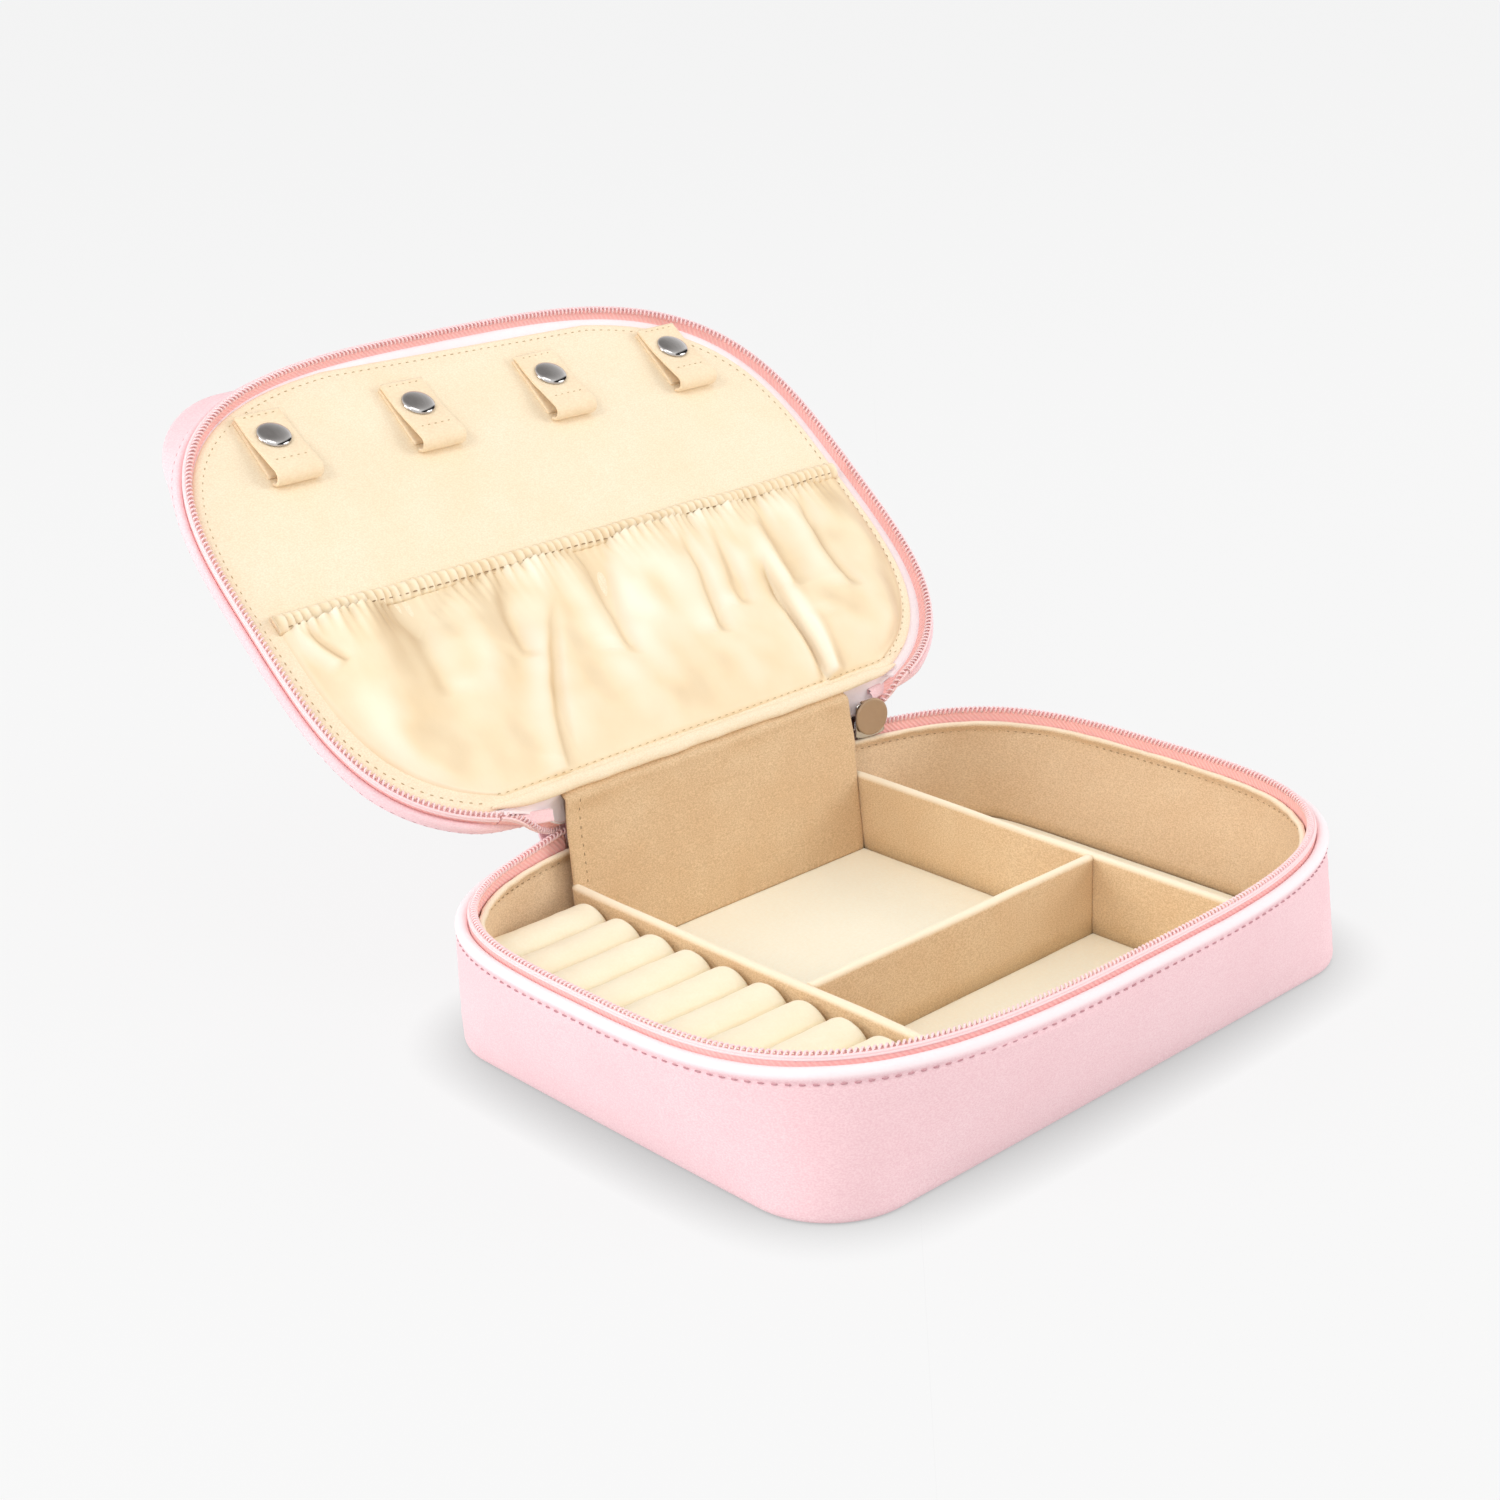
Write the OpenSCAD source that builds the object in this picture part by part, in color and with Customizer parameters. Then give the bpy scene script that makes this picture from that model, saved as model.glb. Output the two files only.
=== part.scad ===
// Soft travel jewelry case: padded base with dividers and ring rolls, hinged lid
// with snap straps and a gathered pocket, closed by a zip that runs round three sides.
// Millimetres. Origin at the centre of the underside, +X along the front, +Y to the
// hinge, +Z up. The lid is drawn open.

/* [Case] */
// Length of the underside
bottom_w = 200; // [190:1:210]
// Depth of the underside
bottom_d = 144.4; // [138:0.2:150]
// Corner radius of the underside
bottom_r = 22.7; // [18:0.1:28]
// Length over the stitched rim
rim_w = 218.4; // [214:0.2:222]
// Rim's reach behind the centre
rim_back = 80.7; // [79:0.1:83]
// Rim's reach in front of the centre
rim_front = 81.3; // [80:0.1:84]
// Squareness of the rim's back corners
rim_nb = 3.58; // [3.2:0.02:4]
// Squareness of the rim's front corners
rim_nf = 3.25; // [3:0.05:3.8]
// Height of the rim stitching
stitch_z = 33; // [31:0.5:34]
// Height of the plane where the two zip chains meet
zip_z = 38.7; // [38.4:0.1:39.2]

/* [Lid] */
// Height of the closed case
case_h = 48; // [47.6:0.1:49]
// How far the lid opens
lid_open = 139.8; // [120:0.1:142]
// Hinge line: distance behind the centre
hinge_y = 73; // [72.6:0.1:73.4]
// Hinge line: height
hinge_z = 46.1; // [45.8:0.1:46.4]

/* [Inside] */
// Height of the top of the dividers
divider_top = 26.8; // [22:0.1:29]
// Divider thickness
divider_t = 3; // [2:0.1:4]
// Left divider, right face
left_x = -51; // [-56:0.5:-46]
// Right divider, left face
right_x = 52; // [52:0.5:54]
// Cross divider, front face
cross_y = -18.5; // [-30:0.5:0]
// Number of ring rolls
roll_count = 10; // [6:1:10]
// Spacing of the ring rolls
roll_pitch = 13.3; // [12.8:0.1:13.3]
// Height of the top of the ring rolls
roll_top = 25.5; // [18:0.5:26]

/* [Straps] */
// Spacing of the snap straps
strap_pitch = 47.4; // [40:0.2:47.4]
// Centre of the first strap
strap_x0 = -69.5; // [-70:0.5:-60]
// Strap width
strap_w = 14.4; // [12:0.2:15]
// Snap cap radius
cap_r = 4.9; // [4:0.1:5.5]
// How far a strap opens
strap_swing = 150; // [90:5:155]

/* [Zip] */
// Diameter of the round zip pull
pull_d = 11; // [10:0.1:13]
// Slider travel about the back right corner
slider_sweep = 28; // [10:1:28]

/* [Hidden] */

pink = [0.97, 0.82, 0.84];
salmon = [0.96, 0.62, 0.58];
blush = [0.98, 0.86, 0.85];
beige = [0.93, 0.81, 0.65];
cream = [0.98, 0.93, 0.82];
board_grey = [0.75, 0.73, 0.7];
steel = [0.45, 0.43, 0.42];

N = 96;               // points round a full outline
wall_top = 35.3;      // top of the rolled hem on the base
zip_in = 54;          // start angle of the base chain at the back
zip_in_lid = 44;      // the lid's chain starts further round, past its soft back
soft_x = 72;          // half length of the lid's soft back
soft_y = 66;          // where the lid's stiff parts end at the back
lining_in = 5.4;      // lining's inner face, in from the rim outline

// --- outlines, by direction angle t -----------------------------------------
function rim_r(t, s) = let (c = abs(cos(t)) / (rim_w / 2 - s),
    up = sin(t) >= 0, n = up ? rim_nb : rim_nf,
    q = abs(sin(t)) / ((up ? rim_back : rim_front) - s))
  pow(pow(c, n) + pow(q, n), -1 / n);
function rr_r(t, w, d, r) = let (a = w / 2, b = d / 2, c = abs(cos(t)), q = abs(sin(t)),
    cx = a - r, cy = b - r, k = c * cx + q * cy,
    m = k * k - (cx * cx + cy * cy - r * r),
    rc = m > 0 ? k + sqrt(m) : 0,
    ra = c > 1e-6 ? a / c : 1e6, rb = q > 1e-6 ? b / q : 1e6,
    rs = min(ra, rb))
  (rs * c > cx && rs * q > cy && rc > 0) ? rc : rs;
function pt(t, r, z) = [r * cos(t), r * sin(t), z];
function rim_pt(t, s, z) = pt(t, rim_r(t, s), z);
// how far the wall has flared out at height z, 0 at the floor and 1 at the stitching
function flare(z) = z >= stitch_z ? 1 : 1 - pow(1 - max(z, 0) / stitch_z, 1.3);
function wall_r(t, s, z) = let (f = flare(z))
  (1 - f) * rr_r(t, bottom_w - 2 * s, bottom_d - 2 * s, max(bottom_r - s, 4)) + f * rim_r(t, s);
function wall_pt(t, s, z) = pt(t, wall_r(t, s, z), z);
function ring(s, z) = [for (i = [0:N - 1]) wall_pt(i * 360 / N, s, z)];

// --- solids from rings ------------------------------------------------------
// stack of equal rings with flat ends, bottom ring first
module stack(rings) {
  n = len(rings[0]); m = len(rings);
  pts = [for (r = rings) for (p = r) p];
  sides = [for (j = [0:m - 2]) for (i = [0:n - 1]) let (a = j * n + i, b = j * n + (i + 1) % n)
      each [[a, a + n, b], [b, a + n, b + n]]];
  polyhedron(pts, concat(sides, [[for (i = [0:n - 1]) i], [for (i = [n - 1:-1:0]) (m - 1) * n + i]]));
}
// a closed section carried round the outline, all the way
module hoop(sect) {
  m = len(sect);
  pts = [for (i = [0:N - 1]) for (p = sect) wall_pt(i * 360 / N, p[0], p[1])];
  polyhedron(pts, [for (i = [0:N - 1]) for (j = [0:m - 1]) let (a = i * m + j,
      b = i * m + (j + 1) % m, c = ((i + 1) % N) * m + j, d = ((i + 1) % N) * m + (j + 1) % m)
      each [[a, b, c], [b, d, c]]]);
}
// the same over part of the way, from direction t0 to t1
module strip(sect, t0, t1, k) {
  m = len(sect);
  pts = [for (i = [0:k]) for (p = sect) wall_pt(t0 + (t1 - t0) * i / k, p[0], p[1])];
  polyhedron(pts, concat([for (i = [0:k - 1]) for (j = [0:m - 1]) let (a = i * m + j,
      b = i * m + (j + 1) % m, c = a + m, d = b + m) each [[a, b, c], [b, d, c]]],
      [[for (j = [m - 1:-1:0]) j], [for (j = [0:m - 1]) k * m + j]]));
}
function outline(s) = [for (i = [0:N - 1]) let (t = i * 360 / N) [rim_r(t, s) * cos(t), rim_r(t, s) * sin(t)]];
function low_outline(s, z) = [for (i = [0:N - 1]) let (t = i * 360 / N, r = wall_r(t, s, z)) [r * cos(t), r * sin(t)]];
// carries the lid from closed to the drawn, open position
module as_open() {
  translate([0, hinge_y, hinge_z]) rotate([-lid_open, 0, 0]) translate([0, -hinge_y, -hinge_z]) children();
}

// --- base -------------------------------------------------------------------
module base_shell() {
  color(pink) stack([
    [for (p = ring(1.4, 0)) [p[0], p[1], 0]],
    ring(0.5, 0.35), ring(0.1, 1.0), ring(0, 2.2), ring(0, 7), ring(0, 13), ring(0, 20), ring(0, 27),
    ring(0, stitch_z), ring(0.15, stitch_z + 1.2), ring(0.8, wall_top - 0.3), ring(1.6, wall_top),
    ring(2.4, wall_top - 0.2), ring(2.8, wall_top - 1.1), ring(2.6, stitch_z), ring(2.5, 24), ring(2.5, 14),
    ring(2.5, 6), ring(2.6, 2.2)]);
}
module base_wall_board() {
  color(board_grey) hoop([[3.0, 3.6], [4.1, 3.6], [4.1, 14], [4.1, 24], [4.1, 32.9], [3.0, 32.9], [3.0, 24], [3.0, 14]]);
}
module base_bottom_board() {
  color(board_grey) translate([0, 0, 2.3]) linear_extrude(1.1) polygon(low_outline(3.4, 2.2));
}
module base_side_lining() {
  color(beige) hoop([[4.5, 3.6], [lining_in, 3.6], [lining_in, 14], [lining_in, 24], [lining_in, stitch_z],
    [lining_in + 0.5, 33.6], [lining_in + 0.6, 34.3], [lining_in + 0.1, 34.9], [4.7, 34.9], [4.5, 34.4], [4.5, 24], [4.5, 14]]);
}
module floor_pad() {
  color(cream) translate([0, 0, 3.5]) linear_extrude(0.9) polygon(low_outline(lining_in + 0.15, 3.5));
}
module hinge_panel() {
  color(beige) translate([-54, 0, 0]) rotate([90, 0, 90]) linear_extrude(right_x + 53.7)
    polygon([[66.3, 4.5], [67.9, 4.5], [71.5, 37], [69.7, 37]]);
}
// a divider seen from its side: a rounded top edge over a flat sheet
module divider_sheet(y0, y1, y2, y3) {
  r = divider_t / 2;
  difference() {
    union() {
      rotate([90, 0, 90]) linear_extrude(divider_t) polygon([[y0, 4.5], [y1, 4.5],
        [y2, divider_top - r], [y3, divider_top - r]]);
      translate([r, y3, divider_top - r]) rotate([-90, 0, 0]) cylinder(r = r, h = y2 - y3, $fn = 32);
    }
  }
}
module left_divider() {
  color(beige) translate([left_x - divider_t, 0, 0]) divider_sheet(-67.3, 65.9, 67.9, -72);
}
module right_divider() {
  color(beige) translate([right_x, 0, 0]) divider_sheet(-67.3, 67.2, 71.4, -71.8);
}
module cross_divider() {
  r = divider_t / 2; x0 = left_x + 0.1; l = right_x - left_x - 0.2;
  color(beige) {
    translate([x0, cross_y, 4.5]) cube([l, divider_t, divider_top - r - 4.5]);
    translate([x0, cross_y + r, divider_top - r]) rotate([0, 90, 0]) cylinder(r = r, h = l, $fn = 32);
  }
}
module ring_roll_card() {
  color(cream) translate([0, 0, 4.5]) linear_extrude(1.1) intersection() {
    polygon(low_outline(lining_in + 0.6, 4.5));
    translate([-120, -120]) square([120 + left_x - divider_t - 0.2, 240]);
  }
}
// how far left a roll may reach, with its far corner at depth y
function left_reach(y) = let (a = bottom_w / 2 - bottom_r, b = bottom_d / 2 - bottom_r, r = bottom_r,
    q = max(abs(y) - b, 0), xb = a + sqrt(max(r * r - q * q, 1)),
    n = y >= 0 ? rim_nb : rim_nf, h = y >= 0 ? rim_back : rim_front,
    xr = rim_w / 2 * pow(1 - pow(abs(y) / h, n), 1 / n))
  min(xb, xr) - lining_in - 1.4;
module ring_rolls() {
  r = roll_pitch / 2 - 0.25;
  x1 = left_x - divider_t - 0.3;
  color(cream) intersection() {
    for (k = [0:roll_count - 1]) {
      y = 58.6 - k * roll_pitch;
      x0 = -left_reach(y > 0 ? y + r : y - r);
      translate([x0, y, 0]) rotate([90, 0, 90]) {
        linear_extrude(x1 - x0) translate([-r, 5.7]) square([2 * r, roll_top - r - 5.7]);
        translate([0, roll_top - r, 0]) cylinder(r = r, h = x1 - x0, $fn = 48);
      }
    }
    // the lining's inner face, less a small gap
    stack([ring(lining_in + 0.4, 3.6), ring(lining_in + 0.4, 14), ring(lining_in + 0.4, 24), ring(lining_in + 0.4, 33)]);
  }
}
module base_zip_tape() {
  color(salmon) strip([[3.7, 33.2], [4.4, 33.2], [4.4, zip_z - 1.1], [3.7, zip_z - 1.1]], -180 - zip_in, zip_in, 108);
}
module base_zip_teeth() {
  color(blush) strip([[3.1, zip_z - 1.1], [5.0, zip_z - 1.1], [5.0, zip_z - 0.35], [3.1, zip_z - 0.35]], -180 - zip_in, zip_in, 108);
}
module zip_end_stops() {
  color(salmon) for (m = [0, 1]) mirror([m, 0, 0])
    translate([50.4, 72.9, 36.6]) cube([2.6, 3.6, 3.4]);
}

// --- soft hinge, drawn as it lies with the lid open ---------------------------
module hinge_cover() {
  color(pink) translate([-52, 0, 0]) rotate([90, 0, 90]) linear_extrude(104)
    polygon([[78.0, 35.5], [79.8, 35.5], [81.4, 39], [82.2, 43], [81.9, 47.3], [80.4, 46.3], [80.5, 43], [79.8, 39.6]]);
}
module hinge_panel_top() {
  color(beige) translate([-53.9, 0, 0]) rotate([90, 0, 90]) linear_extrude(right_x + 53.4)
    polygon([[69.7, 37.1], [71.5, 37.1], [72.4, 42], [73.3, 47], [73.5, 50.2], [72.3, 51.4], [71.5, 49.5], [70.8, 44]]);
}

// --- lid, drawn closed and carried open --------------------------------------
module lid_shell() {
  zt = case_h;
  function face_r(t, s) = rr_r(t, 200 - 2 * s, 146 - 2 * s, 30 - s);
  function face_pt(t, s) = [face_r(t, s) * cos(t), face_r(t, s) * sin(t) - 6];
  function mix_ring(s, z, f) = [for (i = [0:N - 1]) let (t = i * 360 / N, r = rim_r(t, s), q = face_pt(t, s))
      [(1 - f) * r * cos(t) + f * q[0], (1 - f) * r * sin(t) + f * q[1], z]];
  color(pink) as_open() difference() {
    stack([
      mix_ring(2.8, zt - 2, 1), mix_ring(2.8, zt - 2.6, 0.8), mix_ring(2.6, zip_z + 5.6, 0), mix_ring(2.7, zip_z + 4.2, 0),
      mix_ring(2.3, zip_z + 3.6, 0), mix_ring(1.6, zip_z + 3.4, 0), mix_ring(0.7, zip_z + 3.8, 0), mix_ring(0.1, zip_z + 4.6, 0),
      mix_ring(0, zip_z + 5.7, 0), mix_ring(0, zt - 2.2, 0.4), mix_ring(0, zt - 1.1, 0.82), mix_ring(0.8, zt - 0.3, 1), mix_ring(2.4, zt, 1)]);
    translate([-soft_x, soft_y, 30]) cube([2 * soft_x, 40, 40]);
  }
}
module lid_board() {
  color(board_grey) as_open() translate([0, 0, zip_z + 4.1]) linear_extrude(case_h - zip_z - 6.8) intersection() {
    polygon(outline(12));
    translate([-120, -120]) square([240, 180]);
  }
}
module lid_side_lining() {
  color(blush) as_open() strip([[4.5, zip_z + 1.6], [5.2, zip_z + 1.6], [6.2, zip_z + 2.7], [6.2, zip_z + 4], [4.5, zip_z + 4]],
    -180 - zip_in_lid, zip_in_lid, 96);
}
module lid_panel() {
  color(beige) as_open() translate([0, 0, zip_z + 2.5]) linear_extrude(1.5) intersection() {
    polygon(outline(6.4));
    translate([-120, -120]) square([240, 188.6]);
  }
}
module lid_zip_tape() {
  color(salmon) as_open() strip([[3.7, zip_z + 1.1], [4.4, zip_z + 1.1], [4.4, zip_z + 5.4], [3.7, zip_z + 5.4]],
    -180 - zip_in_lid, zip_in_lid, 100);
}
module lid_zip_teeth() {
  color(blush) as_open() strip([[3.1, zip_z + 0.35], [5.0, zip_z + 0.35], [5.0, zip_z + 1.1], [3.1, zip_z + 1.1]],
    -180 - zip_in_lid, zip_in_lid, 100);
}
module pocket_outline(s, y0, y1) {
  intersection() { polygon(outline(s)); translate([-120, y0]) square([240, y1 - y0]); }
}
module pocket() {
  color(cream) as_open() difference() {
    translate([0, 0, zip_z + 0.3]) linear_extrude(2.1) pocket_outline(7.4, 1.6, 65.8);
    translate([0, 0, zip_z + 1.2]) linear_extrude(3) pocket_outline(9, 0, 64.2);
  }
}
module pocket_header() {
  color(cream) as_open() difference() {
    translate([0, 0, zip_z + 0.1]) linear_extrude(2.3) pocket_outline(7.4, -2.6, 1.5);
    translate([0, 0, zip_z + 0.9]) linear_extrude(0.8) pocket_outline(5, -1.7, 0.7);
  }
}
module pocket_elastic() {
  color(cream) as_open() translate([0, 0, zip_z + 1]) linear_extrude(0.6) pocket_outline(7.6, -1.6, 0.6);
}
module lid_hem_roll() {
  color(cream) as_open() translate([-66, 67.1, zip_z + 1]) rotate([0, 90, 0]) cylinder(r = 1.25, h = 132, $fn = 32);
}

// --- snap straps, drawn snapped ------------------------------------------------
panel_z = zip_z + 2.5;         // inner face of the lid panel, lid closed
fold_y = -42.2;                // fold line of a strap
fold_z = panel_z - 2.35;
fold_r = 2.25;
flap_tilt = 6.4;               // the flap leans in towards its snap
snap_at = -12.3;               // snap centre from the fold line
function strap_x(k) = strap_x0 + (k - 1) * strap_pitch;
module strap_bases() {
  color(beige) as_open() for (k = [1:4]) translate([strap_x(k) - strap_w / 2, fold_y - 21.8, panel_z - 1.1])
    cube([strap_w, 21.8 - fold_r - 0.35, 1]);
}
module snap_studs() {
  color(steel) as_open() for (k = [1:4]) translate([strap_x(k), fold_y + snap_at, 0]) {
    translate([0, 0, panel_z - 1.35]) cylinder(r = 3.2, h = 0.25, $fn = 48);
    translate([0, 0, panel_z - 1.85]) cylinder(r = 1.1, h = 0.5, $fn = 32);
  }
}
// the flap's own frame: fold line at the origin, flap along -Y, panel above
module on_flap(k) {
  as_open() translate([strap_x(k), fold_y, fold_z]) rotate([-flap_tilt, 0, 0]) children();
}
module strap_flap(k) {
  color(beige) on_flap(k) difference() {
    union() {
      translate([-strap_w / 2, 0, 0]) rotate([0, 90, 0]) cylinder(r = fold_r, h = strap_w, $fn = 48);
      translate([-strap_w / 2, -21.5, -fold_r]) cube([strap_w, 21.5, 1]);
    }
    translate([-strap_w, 0, 0]) rotate([0, 90, 0]) cylinder(r = fold_r - 1, h = 2 * strap_w, $fn = 48);
    translate([0, snap_at, -fold_r - 1]) cylinder(r = 1.3, h = 3, $fn = 32);
  }
}
module snap_cap(k) {
  h = 1.5;
  color(steel) on_flap(k) translate([0, snap_at, -fold_r]) {
    // domed cap under the flap's outer face
    rotate_extrude($fn = 64) polygon(concat([[0, -0.02]], [for (a = [0:15:90])
      [cap_r * cos(a), -0.32 - (h - 0.32) * sin(a)]], [[0, -h]]));
    translate([0, 0, -0.3]) cylinder(r = cap_r, h = 0.28, $fn = 64);
    // post through the flap and the socket ring on its other face
    translate([0, 0, -0.1]) cylinder(r = 1.15, h = 1.2, $fn = 32);
    translate([0, 0, 1.14]) difference() {
      translate([0, 0, -0.1]) cylinder(r = 2.9, h = 0.43, $fn = 48);
      cylinder(r = 1.9, h = 2, $fn = 48);
    }
  }
}

// --- zip slider and pull, at the right end of the zip ---------------------------
arc_x = 50.37;                 // centre of the back right corner's curve
arc_y = 11.03;
arc_r = 63.38;                 // radius of the chain there
at0 = 4.2;                     // the slider's two ends, as angles from +Y
at1 = 13.6;
at_mid = 8.9;
// a section (radial, z) carried about the corner centre from angle a to b off +Y
module corner_turn(a, b) {
  translate([arc_x, arc_y, 0]) rotate([0, 0, 90 - b]) rotate_extrude(angle = b - a, $fn = 240) children();
}
// the slider's own frame: X along the chain, Y out from the corner centre
module at_slider() {
  translate([arc_x, arc_y, 0]) rotate([0, 0, -at_mid]) children();
}
module zip_slider() {
  color(steel) corner_turn(at0, at1) translate([arc_r, zip_z]) {
    translate([1.6, -3.2]) square([0.9, 6.4]);
    translate([-2.5, -3.2]) square([0.75, 6.4]);
    for (m = [0, 1]) mirror([0, m]) {
      translate([1.0, 2.4]) square([0.7, 0.8]);
      translate([-1.85, 2.4]) square([0.85, 0.8]);
    }
  }
  // the web at the nose, between the two chains, that joins the two plates
  color(steel) corner_turn(at1 - 2, at1) translate([arc_r, zip_z]) translate([-1.85, -0.2]) square([3.55, 0.4]);
}
pin_y = arc_r - 1.3; pin_z = zip_z + 6.6;
module slider_bail() {
  color(steel) at_slider() {
    for (s = [-1, 1]) translate([s * 3.6 - 0.6, pin_y - 0.8, zip_z + 3.2]) cube([1.2, 1.6, pin_z - zip_z - 3.2]);
    for (s = [-1, 1]) translate([s * 3.6 - 0.6, pin_y, pin_z]) rotate([0, 90, 0]) cylinder(r = 0.8, h = 1.2, $fn = 32);
    translate([-3.1, pin_y, pin_z]) rotate([0, 90, 0]) cylinder(r = 0.55, h = 6.2, $fn = 32);
  }
}
module zip_pull() {
  color(steel) at_slider() difference() {
    union() {
      translate([0, pin_y - 1.65, pin_z - 3.3]) rotate([90, 0, 0]) cylinder(d = pull_d, h = 0.95, $fn = 96);
      translate([-2.2, pin_y, pin_z]) rotate([0, 90, 0]) cylinder(r = 1.05, h = 4.4, $fn = 32);
      translate([-2.2, pin_y - 1.75, pin_z - 1.05]) cube([4.4, 1.75, 2.1]);
    }
    translate([-6, pin_y, pin_z]) rotate([0, 90, 0]) cylinder(r = 0.6, h = 12, $fn = 32);
  }
}

base_shell();
base_wall_board();
base_bottom_board();
base_side_lining();
floor_pad();
hinge_panel();
left_divider();
right_divider();
cross_divider();
ring_roll_card();
ring_rolls();
base_zip_tape();
base_zip_teeth();
zip_end_stops();
hinge_cover();
hinge_panel_top();
lid_shell();
lid_board();
lid_side_lining();
lid_panel();
lid_zip_tape();
lid_zip_teeth();
pocket();
pocket_header();
pocket_elastic();
lid_hem_roll();
strap_bases();
snap_studs();
strap_flap(1);  // strap_flap_1
strap_flap(2);  // strap_flap_2
strap_flap(3);  // strap_flap_3
strap_flap(4);  // strap_flap_4
snap_cap(1);  // snap_cap_1
snap_cap(2);  // snap_cap_2
snap_cap(3);  // snap_cap_3
snap_cap(4);  // snap_cap_4
zip_slider();
slider_bail();
zip_pull();
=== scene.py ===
import math

import bpy
import numpy as np
from mathutils import Matrix, Vector


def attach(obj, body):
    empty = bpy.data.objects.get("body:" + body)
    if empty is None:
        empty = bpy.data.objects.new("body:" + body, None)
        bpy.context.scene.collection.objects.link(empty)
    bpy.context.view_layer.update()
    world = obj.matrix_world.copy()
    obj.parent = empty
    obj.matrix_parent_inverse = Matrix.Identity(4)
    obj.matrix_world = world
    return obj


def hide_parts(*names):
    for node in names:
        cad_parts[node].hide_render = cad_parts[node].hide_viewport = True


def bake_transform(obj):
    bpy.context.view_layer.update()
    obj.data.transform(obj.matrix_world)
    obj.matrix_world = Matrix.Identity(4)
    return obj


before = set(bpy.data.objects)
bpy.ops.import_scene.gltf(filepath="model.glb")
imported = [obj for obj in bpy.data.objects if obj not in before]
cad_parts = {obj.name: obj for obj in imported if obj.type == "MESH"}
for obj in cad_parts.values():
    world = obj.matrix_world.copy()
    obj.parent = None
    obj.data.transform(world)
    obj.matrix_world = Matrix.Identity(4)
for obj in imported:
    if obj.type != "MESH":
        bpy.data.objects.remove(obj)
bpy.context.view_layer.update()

# ------------------------------------------------------------------ outlines
# All lengths here are millimetres; add() turns them into metres.
W1, DB, DF, NB, NF = 218.4, 80.7, 81.3, 3.58, 3.25
BW, BD, BR = 200.0, 144.4, 22.7
SZ, ZZ, TOP = 33.0, 38.7, 35.3
HY, HZ, TH = 73.0, 46.1, math.radians(139.8)
CT, ST = math.cos(TH), math.sin(TH)


def rim_r(t, s):
    up = np.sin(t) >= 0
    n = np.where(up, NB, NF)
    c = np.abs(np.cos(t)) / (W1 / 2 - s)
    q = np.abs(np.sin(t)) / (np.where(up, DB, DF) - s)
    return (c**n + q**n) ** (-1 / n)


def rr_r(t, w, d, r):
    a, b, c, q = w / 2, d / 2, np.abs(np.cos(t)), np.abs(np.sin(t))
    cx, cy = a - r, b - r
    k = c * cx + q * cy
    m = k * k - (cx * cx + cy * cy - r * r)
    rc = np.where(m > 0, k + np.sqrt(np.maximum(m, 0)), 0)
    rs = np.minimum(a / np.maximum(c, 1e-9), b / np.maximum(q, 1e-9))
    return np.where((rs * c > cx) & (rs * q > cy) & (rc > 0), rc, rs)


def wall_r(t, s, z):
    f = np.where(z >= SZ, 1.0, 1 - (1 - np.clip(z, 0, SZ) / SZ) ** 1.3)
    return (1 - f) * rr_r(t, BW - 2 * s, BD - 2 * s, np.maximum(BR - s, 4)) + f * rim_r(t, s)


def wall(t, s, z):
    t, s, z = np.broadcast_arrays(np.asarray(t, float), np.asarray(s, float), np.asarray(z, float))
    r = wall_r(t, s, z)
    return np.stack([r * np.cos(t), r * np.sin(t), z], -1)


def even_t(n, a0=0.0, a1=2 * math.pi, s=4.0, closed=True):
    """n directions from a0 to a1, evenly spaced along the rim."""
    d = np.linspace(a0, a1, 6001)
    p = np.stack([rim_r(d, s) * np.cos(d), rim_r(d, s) * np.sin(d)], -1)
    l = np.r_[0, np.cumsum(np.linalg.norm(np.diff(p, axis=0), axis=1))]
    return np.interp(np.linspace(0, l[-1], n, endpoint=not closed), l, d), l[-1]


def t_at_x(x, s=4.0):
    """Direction of the back part of the rim where it passes x."""
    d = np.linspace(math.radians(20), math.radians(90), 4000)
    return float(np.interp(-abs(x), -(rim_r(d, s) * np.cos(d)), d)) if x > 0 else math.pi - float(
        np.interp(-abs(x), -(rim_r(d, s) * np.cos(d)), d))


def opened(p, w=1.0):
    """Closed lid coordinates to the open, drawn position; w is the share of the turn."""
    p = np.array(p, float)
    a, b = p[..., 1] - HY, p[..., 2] - HZ
    c, s = np.cos(TH * w), np.sin(TH * w)
    return np.stack([p[..., 0], HY + a * c + b * s, HZ - a * s + b * c], -1)


def soft(u, seed, waves=((1, 1.0), (2, 0.6), (3, 0.5), (5, 0.3), (7, 0.2))):
    """A smooth repeatable wobble of u in turns, about -1 to 1."""
    r = np.random.default_rng(seed)
    out = 0
    for k, a in waves:
        out = out + a * np.sin(2 * math.pi * (k * u + r.random()))
    return out / sum(a for _, a in waves)


def noise2(x, y, seed, scale):
    """Smooth value noise on a plane."""
    r = np.random.default_rng(seed).random((64, 64)) * 2 - 1
    X, Y = np.asarray(x) / scale + 1000, np.asarray(y) / scale + 1000
    i, j = np.floor(X).astype(int), np.floor(Y).astype(int)
    a, b = X - i, Y - j
    a, b = a * a * (3 - 2 * a), b * b * (3 - 2 * b)
    g = lambda p, q: r[p % 64, q % 64]
    return (g(i, j) * (1 - a) + g(i + 1, j) * a) * (1 - b) + (g(i, j + 1) * (1 - a) + g(i + 1, j + 1) * a) * b


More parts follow.
